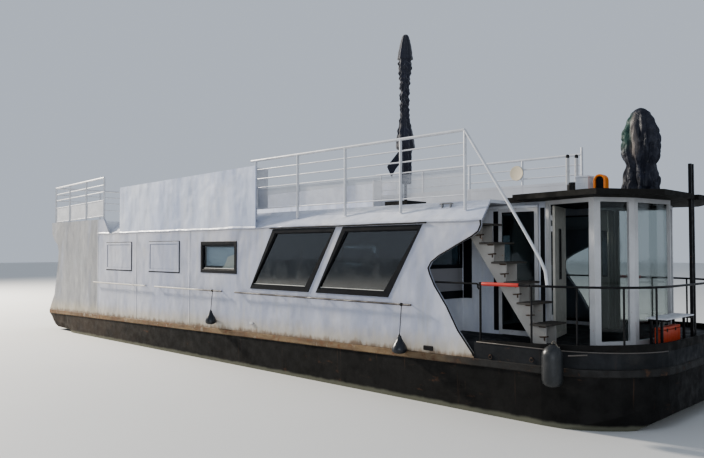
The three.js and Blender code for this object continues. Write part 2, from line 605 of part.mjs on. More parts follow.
// Stair to the roof, its handrail, and the rails round the bow.
const STAIR = { steps: 6, rise: 280, foot: 15, going: 205, x: 7220, y0: -1860, y1: -1290, tread: 245 };
function stair() {
  const { steps, rise, foot, going, x, y0, y1, tread } = STAIR;
  const parts = [];
  const treadZ = (i) => DECK_Z + foot + (i + 1) * rise;
  const outline = [[x, DECK_Z + GAP]];
  for (let i = 0; i < steps; i += 1) {
    outline.push([x - i * going, treadZ(i) - 30], [x - (i + 1) * going, treadZ(i) - 30]);
  }
  outline.push([x - steps * going, treadZ(steps - 1) - 210], [x - 186, DECK_Z + GAP]);
  parts.push(plate(outline, y0 + 60, y0 + 76, 'xz'));
  parts.push(plate(outline, y1 - 76, y1 - 60, 'xz'));
  for (let i = 0; i < steps; i += 1) {
    const back = x - (i + 1) * going - 10;
    parts.push(box(back, back + tread, y0, y1, treadZ(i) - 31, treadZ(i)));
  }
  return join(parts);
}
add('stair', stair(), CREAM);

const BOW_POSTS = [[7140, 0], [7750, 0], [8230, 0], [8480, 0]];
function bowRail() {
  const INSET = 60;
  const path = edgePath(BOW_POSTS[0][0], INSET, 8).map(([x, y]) => vec(x, y, BOW_RAIL_Z));
  const parts = [tube(path, 16)];
  for (const [x] of BOW_POSTS) {
    for (const sign of [-1, 1]) {
      const y = sign * deckHalf(x, INSET);
      parts.push(bar(vec(x, y, DECK_Z + GAP), vec(x, y, BOW_RAIL_Z), 14));
    }
  }
  return join(parts);
}
add('bow_rail', bowRail(), ROOF_BLACK);

// Boarding bars: hinged on a post by the wall, they swing outward.
const GATE = { x: 6330, y: 2045, length: 789 };
for (const { name, sign } of SIDES) {
  const y = sign * GATE.y;
  const [stubX, elbowZ] = [GATE.x - 40, BOW_RAIL_Z - 70];
  add(`boarding_post_${name}`, join([
    bar(vec(GATE.x, y, DECK_Z + GAP), vec(GATE.x, y, BOW_RAIL_Z - 24 - GAP), 16),
    tube([vec(5500, y, BOW_RAIL_Z), vec(stubX - 16, y, BOW_RAIL_Z), vec(stubX, y, BOW_RAIL_Z - 16),
      vec(stubX, y, elbowZ + 16), vec(GATE.x - 18, y, elbowZ), vec(GATE.x, y, elbowZ)], 14),
  ]), ROOF_BLACK);
  add(`boarding_bar_${name}`, join([
    bar(vec(GATE.x, y, BOW_RAIL_Z - 24), vec(GATE.x, y, BOW_RAIL_Z + 24), 24),
    bar(vec(GATE.x, y, BOW_RAIL_Z), vec(GATE.x + GATE.length, y, BOW_RAIL_Z), 16),
    bar(vec(GATE.x + 50, y, BOW_RAIL_Z), vec(GATE.x + 560, y, BOW_RAIL_Z), 26),
  ]), paint(0xb8392c, 0.6, 0));
}

// Bow deck: slatted bench over a locker, and a mast.
const BENCH = { x: 8240, slats: 6, slat: 40, pitch: 48, y0: -1010, y1: -12, legs: [-900, -100], top: 1900 };
function bench() {
  const { x, slats, slat, pitch, y0, y1, legs, top } = BENCH;
  const parts = [];
  const deep = (slats - 1) * pitch + slat;
  for (let i = 0; i < slats; i += 1) {
    const x0 = x + i * pitch;
    parts.push(box(x0, x0 + slat, y0, y1, top - 20, top));
  }
  for (const y of legs) {
    parts.push(box(x, x + deep, y - 20, y + 20, top - 50, top - 19));
    parts.push(box(x + 15, x + 45, y - 15, y + 15, DECK_Z + GAP, top - 49));
    parts.push(box(x + 155, x + 185, y - 15, y + 15, DECK_Z + GAP, top - 49));
  }
  return join(parts);
}
add('bench', bench(), WHITE);
add('locker', box(8290, 8385, -850, -150, DECK_Z + GAP, 1760), paint(0xc24a26, 0.7, 0));
add('bow_mast', join([
  box(8460, 8500, 10, 50, DECK_Z + GAP, 4030), box(8460, 8500, 90, 130, DECK_Z + GAP, 4030),
  ...[1600, 2700, 3900].map((z) => box(8465, 8495, 40, 100, z, z + 60)),
]), ROOF_BLACK);

// Closed parasol on its foot, flue, and the covered item on the bow cabin's roof.
const PARASOL = { x: 4340, y: -1330, top: 6500 };
add('parasol_pole', join([
  box(PARASOL.x - 250, PARASOL.x + 250, PARASOL.y - 250, PARASOL.y + 250, ROOF_TOP + GAP, ROOF_TOP + 70),
  bar(vec(PARASOL.x, PARASOL.y, ROOF_TOP + 60), vec(PARASOL.x, PARASOL.y, 4000), 25),
]), ROOF_BLACK);
const CANOPY = [
  [0, 3890], [30, 3890], [95, 3930], [112, 4100], [110, 4440], [158, 4520], [162, 4640], [120, 4790], [85, 5100],
  [72, 5500], [95, 5900], [120, 6110], [85, 6300], [30, 6480], [0, PARASOL.top],
];
// a loose corner of the cloth hangs out aft and to starboard
const FLAP = {
  turn: -135 * Math.PI / 180, half: 18,
  edge: [[60, 4560], [150, 4440], [320, 4250], [305, 4150], [235, 4015], [200, 4130], [120, 4230], [60, 4240]],
};
const canopy = join([
  new THREE.LatheGeometry(CANOPY.map(([r, z]) => new THREE.Vector2(r, z)), 12).rotateX(Math.PI / 2),
  plate(FLAP.edge, -FLAP.half, FLAP.half, 'xz').rotateZ(FLAP.turn),
]);
add('parasol_canopy', cut(canopy.translate(PARASOL.x, PARASOL.y, 0), [
  bar(vec(PARASOL.x, PARASOL.y, 3800), vec(PARASOL.x, PARASOL.y, 4001), 26),
]), CLOTH);

const BOW_ROOF_TOP = CABIN.top + GAP + BOW_ROOF.thick;
// columns: height, half length, half width
const COVERED = [
  [0, 330, 290], [250, 310, 270], [440, 265, 225], [650, 330, 260], [950, 300, 235], [1130, 225, 180],
  [1270, 140, 115], [1330, 60, 50],
];
add('covered_item', loft(COVERED.map(([z, rx, ry]) => Array.from({ length: 12 }, (_, i) => {
  const angle = i * Math.PI / 6;
  return vec(7800 + rx * Math.cos(angle), ry * Math.sin(angle), BOW_ROOF_TOP + GAP + z);
}))), CLOTH);
add('flue', join([
  bar(vec(6950, -487, BOW_ROOF_TOP + GAP), vec(6950, -487, BOW_ROOF_TOP + 240), 90, 12),
  ...[-48, 48].map((dx) => bar(
    vec(6950 + dx, -487 + dx, BOW_ROOF_TOP + 200), vec(6950 + dx, -487 + dx, 4260), 28)),
]), ROOF_BLACK);
add('vent_box', box(7092, 7302, -690, -390, BOW_ROOF_TOP + GAP, 3900), WHITE);
const LAMP = { x: 7485, y: -664, half: 95, z: 3900 };
add('roof_lamp', plate([
  [LAMP.x - LAMP.half, BOW_ROOF_TOP + GAP], [LAMP.x + LAMP.half, BOW_ROOF_TOP + GAP],
  ...Array.from({ length: 9 }, (_, i) => {
    const angle = i * Math.PI / 8;
    return [LAMP.x + LAMP.half * Math.cos(angle), LAMP.z - LAMP.half + LAMP.half * Math.sin(angle)];
  }),
], LAMP.y - 60, LAMP.y + 60, 'xz'), paint(0xd8691e, 0.6, 0));

// Fenders, hung on lanyards.
const FENDERS = [
  { name: 'fender_aft', x: -150, z: [1270, 1550], r: 110, hang: GRAB.z - GRAB.radius - GAP },
  { name: 'fender_middle', x: 4980, z: [1210, 1480], r: 120, hang: GRAB.z - GRAB.radius - GAP },
];
for (const { name, x, z, r, hang } of FENDERS) {
  const y = -(HALF_BEAM + 3 + r);
  const pear = new THREE.LatheGeometry([
    [0, z[0]], [r * 0.6, z[0] + 20], [r, z[0] + 95], [r * 0.85, z[0] + 170],
    [35, z[1] - 30], [28, z[1]], [0, z[1]],
  ].map(([u, v]) => new THREE.Vector2(u, v)), 12).rotateX(Math.PI / 2).translate(x, y, 0);
  add(name, pear, RUBBER);
  add(`${name}_lanyard`, bar(vec(x, y, z[1] + 1), vec(x, -(HALF_BEAM + GRAB.off), hang), 6, 8), CLOTH);
}
const BOW_FENDER = { x: 7560, y: -2265, top: 1600 };
add('fender_bow', new THREE.LatheGeometry(
  [[0, 1060], [90, 1075], [135, 1140], [135, 1480], [95, 1560], [35, 1600], [0, BOW_FENDER.top]]
    .map(([u, v]) => new THREE.Vector2(u, v)), 12,
).rotateX(Math.PI / 2).translate(BOW_FENDER.x, BOW_FENDER.y, 0), RUBBER);
// columns: y, z of the lanyard, from the fender's eye over to the toe rail
const BOW_LANYARD = [
  [BOW_FENDER.y, BOW_FENDER.top + 0.8], [BOW_FENDER.y, 1618], [-2240, 1636], [-2200, 1630], [-2155, 1585],
  [-2122, 1549], [-deckHalf(BOW_FENDER.x) - 2.4, 1545],
];
add('fender_bow_lanyard', tube(BOW_LANYARD.map(([y, z]) => vec(BOW_FENDER.x, y, z)), 8), CLOTH);

// The box of the whole boat stands centred on the origin.
const bounds = new THREE.Box3().setFromObject(boat);
boat.position.set(-(bounds.min.x + bounds.max.x) / 2, -(bounds.min.y + bounds.max.y) / 2, 0);
export default boat;
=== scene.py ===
"""Steel houseboat: black hull, white deckhouse, roof terrace and glazed bow cabin.

Metres, +X to the bow, +Y to port, +Z up, hull bottom at z = 0 and the waterline at WATER_Z.
"""
import json
from math import atan2, cos, exp, hypot, pi, radians, sin, sqrt

import bmesh
import bpy
from mathutils import Matrix, Vector


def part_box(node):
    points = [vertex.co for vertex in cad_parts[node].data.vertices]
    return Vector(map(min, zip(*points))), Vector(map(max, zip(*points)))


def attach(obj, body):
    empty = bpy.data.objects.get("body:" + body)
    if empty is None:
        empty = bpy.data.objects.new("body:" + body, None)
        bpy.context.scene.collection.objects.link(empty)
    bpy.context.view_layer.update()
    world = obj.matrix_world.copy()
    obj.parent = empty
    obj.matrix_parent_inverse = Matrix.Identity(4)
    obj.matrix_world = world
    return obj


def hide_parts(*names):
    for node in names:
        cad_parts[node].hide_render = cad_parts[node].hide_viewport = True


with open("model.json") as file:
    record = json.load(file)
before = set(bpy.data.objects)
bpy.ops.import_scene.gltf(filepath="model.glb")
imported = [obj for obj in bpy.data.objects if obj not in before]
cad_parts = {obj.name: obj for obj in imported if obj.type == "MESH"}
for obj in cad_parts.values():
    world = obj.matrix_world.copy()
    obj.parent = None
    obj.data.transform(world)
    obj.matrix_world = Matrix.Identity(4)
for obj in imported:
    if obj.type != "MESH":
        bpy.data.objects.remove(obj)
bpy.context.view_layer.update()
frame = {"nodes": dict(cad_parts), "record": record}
NODES = frame["nodes"]

WATER_Z = 0.5
SHIFT = Vector((0.01485, 0.097, 0))    # from the drawing's axes, centred on the hull, to this frame
SIDES = (("starboard", -1), ("port", 1))
WALL_Y = 2.115
CREASE_Z = 3.23
AFT_SEAM = -5.535    # x of the weld forward of the aft plates
SHEER = ((-8.65, 1.07), (6.26, 1.27))    # the deckhouse's lower edge: x, z at both ends
DECK_Z = 1.5


def at(x, y, z):
    """A point given from the hull's own centreline."""
    return Vector((x, y, z)) + SHIFT


def linked(name, data):
    """A new object in the scene."""
    obj = bpy.data.objects.new(name, data)
    bpy.context.scene.collection.objects.link(obj)
    return obj


def on_plane(y, points):
    """x, z pairs as points in the upright plane at y."""
    return [at(x, y, z) for x, z in points]


def rect(u0, u1, z0, z1, inset=0):
    """The corners of an upright rectangle, moved in by inset."""
    u0, u1, z0, z1 = u0 + inset, u1 - inset, z0 + inset, z1 - inset
    return [(u0, z0), (u1, z0), (u1, z1), (u0, z1)]


def angles(turns, closed=False):
    """Even steps round a circle. closed: the first again at the end."""
    return [2 * pi * k / turns for k in range(turns + closed)]


def circle(turns, closed=False):
    return [(cos(a), sin(a)) for a in angles(turns, closed)]


# Camera.

CAMERA_AT = (11.965, -10.218, 2.8)
CAMERA_YAW = radians(44.71)
CAMERA_PITCH = radians(1.743)
FOCAL_PX, FRAME_WIDTH_PX = 690, 704
SENSOR_MM = 36

ahead = Vector((-sin(CAMERA_YAW), cos(CAMERA_YAW), 0))
right = Vector((cos(CAMERA_YAW), sin(CAMERA_YAW), 0))
look = ahead * cos(CAMERA_PITCH) + Vector((0, 0, 1)) * sin(CAMERA_PITCH)
camera = linked("camera", bpy.data.cameras.new("camera"))
camera.data.sensor_width = SENSOR_MM
camera.data.lens = SENSOR_MM * FOCAL_PX / FRAME_WIDTH_PX
camera.data.clip_end = 300
camera.matrix_world = Matrix([*zip(right, right.cross(look), -look, CAMERA_AT), (0, 0, 0, 1)])
scene = bpy.context.scene
scene.view_settings.look = "AgX - Medium High Contrast"
scene.camera = camera


# Node materials.

def scaled(colour, factors, plus=0):
    """The colour times one factor, or one for each channel."""
    factors = factors if isinstance(factors, tuple) else (factors,) * 3
    return tuple(c * f + plus for c, f in zip(colour, factors))


LOOKS = {}


class Shader:
    """A Principled material, kept in LOOKS by its name."""

    def __init__(self, name, colour, roughness=0.5, metallic=0, **sockets):
        LOOKS[name] = bpy.data.materials.new(name)
        LOOKS[name].use_nodes = True
        self.tree = LOOKS[name].node_tree
        self.out = next(n for n in self.tree.nodes if n.type == "BSDF_PRINCIPLED")
        sockets.update(Base_Color=(*colour, 1), Roughness=roughness, Metallic=metallic)
        for socket, value in sockets.items():
            self.out.inputs[socket.replace("_", " ")].default_value = value
        self.place = self.node("ShaderNodeTexCoord").outputs["Object"]
        self.base, self.normal = colour, None

    def node(self, kind, inputs=(), **settings):
        made = self.tree.nodes.new(kind)
        for key, value in settings.items():
            setattr(made, key, value)
        for socket, value in dict(inputs).items():
            self.feed(made.inputs[socket], value)
        return made

    def xyz(self):
        return self.node("ShaderNodeSeparateXYZ", {0: self.place}).outputs

    def feed(self, socket, value):
        """Links a node's output or sets a constant. None leaves the socket alone."""
        if hasattr(value, "links"):
            self.tree.links.new(value, socket)
        elif isinstance(value, (tuple, list)) and len(value) == 3 and len(socket.default_value) == 4:
            socket.default_value = (*value, 1)
        elif value is not None:
            socket.default_value = value

    def noise(self, scale, detail=4, roughness=0.55, stretch=(1, 1, 1), offset=(0, 0, 0), distortion=0):
        """Noise, 0 to 1. stretch and offset change the object's coordinates first."""
        where = self.node("ShaderNodeMapping", {"Vector": self.place, "Scale": stretch, "Location": offset})
        inputs = {"Vector": where.outputs["Vector"], "Scale": scale, "Detail": detail, "Roughness": roughness,
                  "Distortion": distortion}
        return self.node("ShaderNodeTexNoise", inputs).outputs["Fac"]

    def math(self, operation, a, b=0, c=0, clamp=False):
        made = self.node("ShaderNodeMath", enumerate((a, b, c)), operation=operation, use_clamp=clamp)
        return made.outputs[0]

    def product(self, a, b):
        return self.math("MULTIPLY", a, b)

    def ramp(self, value, low, high, to_low=0, to_high=1):
        inputs = enumerate((value, low, high, to_low, to_high))
        return self.node("ShaderNodeMapRange", inputs, interpolation_type="SMOOTHSTEP").outputs[0]

    def mix(self, factor, a, b):
        return self.node("ShaderNodeMix", {"Factor": factor, 6: a, 7: b}, data_type="RGBA").outputs[2]

    def cloud(self, scale, detail, roughness, low, high, most=1, least=0, **place):
        """Noise drawn out: least where it is under low, most where it is over high."""
        return self.ramp(self.noise(scale, detail, roughness, **place), low, high, least, most)

    def wander(self, value, amount, *noise, **place):
        """value plus noise times amount."""
        return self.math("MULTIPLY_ADD", self.noise(*noise, **place), amount, value)

    def band(self, value, centre, half, soft):
        """1 within half of centre, falling to 0 over soft."""
        away = self.math("ABSOLUTE", self.math("SUBTRACT", value, centre))
        return self.ramp(away, half, half + soft, 1, 0)

    def bump(self, height, distance, strength):
        """Height times distance, on top of the bumps so far."""
        inputs = {"Distance": distance, "Strength": strength, "Height": height, "Normal": self.normal}
        self.normal = self.node("ShaderNodeBump", inputs).outputs["Normal"]

    def coat(self, factor, colour):
        """One more coat over the base, as thick as factor says."""
        self.base = self.mix(factor, self.base, colour)

    def finish(self, roughness=None):
        for socket, value in (("Base Color", self.base), ("Roughness", roughness), ("Normal", self.normal)):
            self.feed(self.out.inputs[socket], value)


RUST_DARK = (0.1, 0.045, 0.022)
RUST = (0.26, 0.115, 0.05)
RUST_LIGHT = (0.34, 0.19, 0.11)


def wall_material(name, colour, seams=(), dirt_and_shade=1, panelled=True, foot=False):
    """White paint over plate: mottled with painted shade and light, with dents, weld seams, thin runs,
    painted shade under the crease's lip and, at the foot, grime and rust.
    """
    s = Shader(name, colour, 0.42)
    x, y, z = s.xyz()
    # painted shade and light, mostly: broad bluish patches of shade and warmer lit patches, as on dented
    # plate in low light
    s.coat(s.cloud(0.55, 7, 0.66, 0.36, 0.7, stretch=(1.3, 1.3, 0.6), distortion=0.5),
           scaled(colour, (0.7, 0.735, 0.83)))
    s.coat(s.cloud(0.9, 6, 0.65, 0.5, 0.72, 0.6, offset=(6, 2, 3)), scaled(colour, (1.1, 1.04, 0.93)))
    if panelled:    # the aft part is one plate, in an older and greyer coat
        s.coat(s.ramp(x, AFT_SEAM, AFT_SEAM - 0.04, 0, 0.85), (0.265, 0.263, 0.257))
    # painted shade: broad upright smears in the same bluish shade
    s.coat(s.cloud(1.5, 6, 0.65, 0.5, 0.7, 0.55, stretch=(1.2, 1.2, 0.35), offset=(7, 3, 1)),
           scaled(colour, (0.7, 0.735, 0.815)))
    s.coat(s.cloud(2.3, 8, 0.7, 0.5, 0.78, 0.5 * dirt_and_shade, offset=(4, 1, 2)), (0.36, 0.37, 0.39))
    s.coat(s.cloud(6, 5, 0.65, 0.5, 0.72, 0.5 * dirt_and_shade, stretch=(1.6, 1.6, 0.07)), (0.4, 0.4, 0.4))
    # thin weeps of rust from points high on the plate
    weep = s.cloud(16, 3, 0.5, 0.67, 0.76, 0.5 * dirt_and_shade, stretch=(1.3, 1.3, 0.04), offset=(9, 0, 0))
    s.coat(s.product(weep, s.cloud(0.8, 3, 0.5, 0.54, 0.68, offset=(2, 7, 1))), RUST_LIGHT)
    s.coat(s.cloud(30, 4, 0.7, 0.72, 0.8, 0.7 * dirt_and_shade, offset=(3, 3, 3)), RUST)
    s.bump(s.noise(0.75, 3, 0.5, stretch=(1, 1, 0.7)), 0.16 if panelled else 0.03, 1)
    s.bump(s.noise(2.6, 3, 0.5, offset=(1, 5, 2)), 0.025, 0.6)
    s.bump(s.noise(60, 3, 0.6), 0.0015, 0.5)
    if panelled:
        # the plates' edge at the crease, knocked out of line; it runs out where the wall is one plate
        crease = s.wander(z, 0.05, 1.8, 3)
        two_plates = s.ramp(x, AFT_SEAM - 0.15, AFT_SEAM + 0.1)
        lip = s.product(s.band(crease, CREASE_Z + 0.025, 0.004, 0.03), two_plates)
        s.bump(lip, 0.02, 0.9)
        # painted shade: a darker band just under the lip
        crease_shade = s.product(s.band(crease, CREASE_Z - 0.01, 0.004, 0.05), two_plates)
        s.coat(s.product(crease_shade, 0.5 * dirt_and_shade), (0.36, 0.36, 0.38))
    for seam in seams:
        wavy = s.wander(x, 0.02, 2.2, 2)
        s.bump(s.band(wavy, seam, 0.006, 0.035), 0.008, 0.9)
        # the plate darker in a band just forward of each seam
        seam_darkening = s.product(s.band(wavy, seam + 0.02, 0.012, 0.1), s.noise(5, 6, 0.7))
        s.coat(s.math("MULTIPLY", seam_darkening, 0.55 * dirt_and_shade, clamp=True), (0.38, 0.39, 0.42))
    if foot:
        (x0, z0), (x1, z1) = SHEER
        slope = (z1 - z0) / (x1 - x0)
        above = s.math("SUBTRACT", z, s.math("MULTIPLY_ADD", x, slope, z0 - x0 * slope))
        ragged = s.wander(above, -0.3, 7, 7, 0.7, stretch=(1, 1, 0.5))
        s.coat(s.ramp(ragged, -0.16, 0.24, 0.7, 0), (0.42, 0.36, 0.24))
        s.coat(s.ramp(ragged, -0.17, -0.06, 0.9, 0), (0.15, 0.095, 0.055))
        # the grab rails stand off the wall: pale aft, bare and dark forward
        off = s.math("ABSOLUTE", s.math("SUBTRACT", y, SHIFT.y))
        worn = s.ramp(s.wander(x, 0.5, 3, 4), -0.55, -0.15)
        rail = s.mix(worn, (0.58, 0.55, 0.49), (0.045, 0.036, 0.032))
        s.coat(s.math("GREATER_THAN", off, WALL_Y + 0.02), rail)
    s.finish(s.cloud(3, 5, 0.6, 0.3, 0.7, 0.55, least=0.32, offset=(5, 5, 5)))


WALL_SEAMS = tuple(x + SHIFT.x for x in (-5.55, -3.5, -1.14))
# wall_white is darker than the other whites: painted shade for side walls that lean in towards the foot
wall_material("wall_white", (0.475, 0.487, 0.55), WALL_SEAMS, foot=True)
wall_material("house_white", (0.66, 0.675, 0.71), dirt_and_shade=0.45, panelled=False)
wall_material("shoulder_white", (0.66, 0.675, 0.73), dirt_and_shade=0.7)
wall_material("screen_white", (0.58, 0.62, 0.72), dirt_and_shade=0.6)


def hull_material(name, colour, rust_from, rust_to):
    """Black bitumen paint going to rust, with a pale scum line at the water."""
    s = Shader(name, colour, 0.7, Specular_IOR_Level=0.22)
    x, _, z = s.xyz()
    s.coat(s.cloud(1.4, 7, 0.65, 0.4, 0.75), scaled(colour, 1.9))
    # browner and paler towards the stern
    aft = s.product(s.ramp(x, -1, -7), s.cloud(1.9, 7, 0.7, 0.25, 0.65, offset=(1, 6, 2)))
    s.coat(s.product(aft, 0.75), (0.062, 0.046, 0.034))
    s.coat(s.cloud(0.9, 6, 0.7, 0.55, 0.75, 0.35, stretch=(0.6, 0.6, 1.5), offset=(2, 3, 4)),
           (0.07, 0.062, 0.052))
    rust = s.cloud(3.4, 9, 0.72, rust_from, rust_to, stretch=(0.6, 0.6, 1.5), offset=(3, 1, 8))
    s.coat(s.product(rust, 0.8), s.mix(s.noise(14, 5, 0.6), RUST_DARK, (0.17, 0.08, 0.04)))
    s.coat(s.cloud(8, 4, 0.6, 0.63, 0.76, 0.35, stretch=(1.5, 1.5, 0.06)), (0.13, 0.07, 0.04))
    scum = s.band(s.wander(z, 0.06, 4, 4), WATER_Z + 0.05, 0.02, 0.05)
    s.coat(s.product(scum, 0.6), (0.2, 0.2, 0.15))
    s.bump(s.noise(1.1, 3, 0.5), 0.05, 0.4)
    s.bump(s.noise(24, 6, 0.7), 0.003, 0.7)
    s.finish(s.cloud(5, 5, 0.6, 0.3, 0.7, 0.85, least=0.5))


hull_material("hull_black", (0.0075, 0.007, 0.0066), 0.6, 0.76)
hull_material("deck_steel", (0.016, 0.017, 0.019), 0.6, 0.8)


def band_material():
    """The rubbing band: tan and rusty aft, painted black round the bow."""
    s = Shader("band_rust", (0.16, 0.12, 0.08), 0.8)
    fore = s.ramp(s.wander(s.xyz()[0], 0.8, 1.5, 4), 4.8, 6.9)
    s.base = (0.235, 0.165, 0.092)
    s.coat(s.cloud(2, 8, 0.7, 0.35, 0.65, stretch=(0.5, 1, 2)), (0.115, 0.07, 0.038))
    s.coat(s.cloud(9, 7, 0.7, 0.5, 0.66), (0.17, 0.08, 0.038))
    s.coat(s.cloud(5, 6, 0.7, 0.58, 0.72, offset=(3, 3, 0)), (0.33, 0.3, 0.25))
    s.coat(fore, s.mix(s.cloud(6, 8, 0.7, 0.55, 0.72, 0.8), (0.014, 0.013, 0.012), (0.11, 0.055, 0.03)))
    s.bump(s.noise(20, 7, 0.7), 0.004, 0.9)
    s.finish(s.cloud(6, 4, 0.55, 0.3, 0.7, 0.9, least=0.6))


band_material()


def metal_paint(name, colour, roughness=0.4, rust=0.3, scale=1, metallic=0, gloss=0.5):
    """Paint on bars and frames, with chips and a little rust."""
    s = Shader(name, colour, roughness, metallic, Specular_IOR_Level=gloss)
    s.coat(s.cloud(6 * scale, 5, 0.6, 0.3, 0.7), scaled(colour, 0.84))
    chips = s.cloud(22 * scale, 6, 0.7, 0.62, 0.7, rust, offset=(1, 2, 3))
    s.coat(chips, RUST)
    s.bump(s.noise(90 * scale, 3, 0.6), 0.0008, 0.5)
    s.bump(chips, -0.001, 0.6)
    s.finish(s.cloud(12, 4, 0.55, 0.3, 0.7, roughness + 0.14, least=roughness - 0.08))


metal_paint("rail_grey", (0.6, 0.61, 0.635), 0.38, 0.3, metallic=0.1)
metal_paint("panel_grey", (0.46, 0.47, 0.5), 0.5, 0.2, 0.3, metallic=0.1)
metal_paint("rail_black", (0.01, 0.01, 0.011), 0.42, 0.3, gloss=0.25)
metal_paint("frame_white", (0.55, 0.55, 0.555), 0.35, 0.35, 0.5)
metal_paint("stair_cream", (0.335, 0.325, 0.305), 0.5, 0.9, 0.5)
metal_paint("tread_grey", (0.075, 0.068, 0.06), 0.75, 0.5)
metal_paint("bench_white", (0.66, 0.67, 0.7), 0.4, 0.15)
metal_paint("pole_steel", (0.3, 0.3, 0.3), 0.35, 0.2, metallic=0.8)
metal_paint("bronze", (0.42, 0.27, 0.11), 0.4, 0.3, metallic=0.85)
metal_paint("roof_felt", (0.019, 0.018, 0.0165), 0.7, 0.12, 0.4, gloss=0.15)
metal_paint("rust_steel", (0.06, 0.036, 0.024), 0.8, 0.8)
metal_paint("frame_dark", (0.006, 0.007, 0.01), 0.42, 0, gloss=0.22)
metal_paint("trim_black", (0.012, 0.011, 0.011), 0.5, 0.1, gloss=0.25)
metal_paint("bead_pale", (0.62, 0.62, 0.58), 0.4, 0.05)
metal_paint("edge_worn", (0.12, 0.108, 0.098), 0.6, 0.7)
metal_paint("door_paint", (0.52, 0.5, 0.44), 0.45, 0.2, 0.5)


def glass_material(name, tint, index=1.45, roughness=0.03):
    s = Shader(name, tint, roughness, IOR=index, Transmission_Weight=1)
    smear = s.cloud(3, 6, 0.65, 0.4, 0.75, roughness + 0.1, least=roughness, stretch=(1, 1, 0.6))
    s.bump(s.noise(1.3, 2, 0.5), 0.01, 0.12)
    s.finish(smear)


glass_material("cabin_glass", (0.42, 0.47, 0.46))
glass_material("small_glass", (0.8, 0.85, 0.86))
glass_material("window_glass", (0.16, 0.2, 0.22), index=1.9)


def plastic(name, colour, roughness=0.45, grain=300, fade=0.2):
    """Plastic or coated cloth, faded in places."""
    s = Shader(name, colour, roughness)
    worn = s.cloud(7, 6, 0.65, 0.45, 0.75, fade)
    s.coat(worn, scaled(colour, 0.75, plus=0.07))
    s.bump(s.noise(grain, 2, 0.5), 0.0006, 0.5)
    s.finish(s.ramp(worn, 0, fade + 0.01, roughness, min(1, roughness + 0.3)))


plastic("fender_rubber", (0.014, 0.017, 0.023), 0.32, 200, 0.25)
plastic("fender_grey", (0.02, 0.022, 0.024), 0.34, 200, 0.3)
plastic("locker_orange", (0.5, 0.07, 0.025), 0.4)
plastic("lamp_orange", (0.78, 0.22, 0.02), 0.35, 200, 0.1)
plastic("sleeve_red", (0.52, 0.06, 0.045), 0.5, 200, 0.15)
plastic("canopy_cloth", (0.02, 0.022, 0.032), 0.9, 500, 0.12)
plastic("blind_pale", (0.66, 0.65, 0.6), 0.55, 120, 0.1)
plastic("blind_blue", (0.36, 0.44, 0.53), 0.5, 60, 0.2)
plastic("curtain_grey", (0.25, 0.25, 0.265), 0.3, 60, 0.2)
plastic("dish_beige", (0.6, 0.53, 0.4), 0.5, 200, 0.15)


def cloth_material():
    """Weatherproof cloth: a fine weave, a little sheen and faded ridges."""
    colour = (0.012, 0.014, 0.026)
    s = Shader("cloth_dark", colour, 0.85, Sheen_Weight=0.35, Sheen_Roughness=0.5)
    faded = s.cloud(5, 6, 0.65, 0.45, 0.75, 0.5)
    s.coat(faded, scaled(colour, 2.4, plus=0.006))
    s.coat(s.cloud(14, 6, 0.7, 0.58, 0.75, 0.3, stretch=(1, 1, 0.4)), (0.1, 0.1, 0.11))
    s.bump(s.noise(9, 5, 0.6, stretch=(1, 1, 0.45), distortion=0.6), 0.02, 0.8)
    s.bump(s.noise(900, 2, 0.5), 0.0006, 0.5)
    s.finish(s.ramp(faded, 0, 0.5, 0.75, 0.95))


def tarp_material():
    """The covered item's cloth: near black, with a weathered grey-brown streak and a green part aft."""
    s = Shader("tarp", (0.012, 0.014, 0.024), 0.7)
    x, y, z = s.xyz()
    s.base = (0.01, 0.012, 0.022)
    s.coat(s.cloud(4, 6, 0.65, 0.42, 0.72), (0.032, 0.036, 0.055))
    streak = s.band(s.wander(x, 0.34, 3.2, 4, 0.6, stretch=(1, 1, 0.5)), 7.93, 0.035, 0.05)
    streak = s.product(s.product(streak, s.ramp(y, 0, -0.05)), s.ramp(z, 4.05, 4.3))
    s.coat(s.product(streak, 0.85), (0.155, 0.135, 0.125))
    green = s.product(s.ramp(s.wander(x, 0.16, 5, 4), 7.86, 7.74), s.ramp(z, 4.2, 4.45))
    s.coat(s.product(green, 0.75), (0.008, 0.06, 0.045))
    s.coat(s.cloud(11, 7, 0.7, 0.6, 0.72, 0.55, offset=(1, 4, 2)), (0.17, 0.16, 0.15))
    s.bump(s.noise(7, 6, 0.65, stretch=(1, 1, 0.5), distortion=0.8), 0.035, 0.9)
    s.bump(s.noise(700, 2), 0.0006, 0.4)
    s.finish(s.cloud(9, 4, 0.55, 0.3, 0.7, 0.85, least=0.45))


cloth_material()
tarp_material()


def rope_material(name, colour, pitch=0.02):
    """Laid rope: strands wound round it, the grooves between them darker as painted shade, and grime."""
    s = Shader(name, colour, 0.85)
    strands = s.node("ShaderNodeTexWave", {"Vector": s.place, "Scale": 1 / pitch}, wave_type="BANDS",
                     bands_direction="DIAGONAL").outputs["Fac"]
    # painted shade: the grooves between the strands darker
    s.base = s.mix(strands, scaled(colour, 0.6), colour)
    s.coat(s.cloud(12, 4, 0.55, 0.4, 0.7, 0.6), (0.07, 0.06, 0.05))
    s.bump(strands, 0.004, 1)
    s.finish()


rope_material("rope_pale", (0.42, 0.38, 0.31))
rope_material("rope_dark", (0.05, 0.048, 0.045))

SLOT_LOOK = {"door_white": "frame_white", "window_dark": "frame_dark", "roof_black": "roof_felt"}
# nodes that don't take their slot's look, without their side
OWN_LOOK = {
    "foredeck": "deck_steel", "toe_rail": "hull_black", "saloon_bulkhead": "house_white",
    "vestibule_wall": "house_white", "bow_cabin_frame": "frame_white", "roof_shoulder": "shoulder_white",
    "windbreak": "screen_white", "roof_deck": "house_white", "parasol_pole": "rail_black",
}


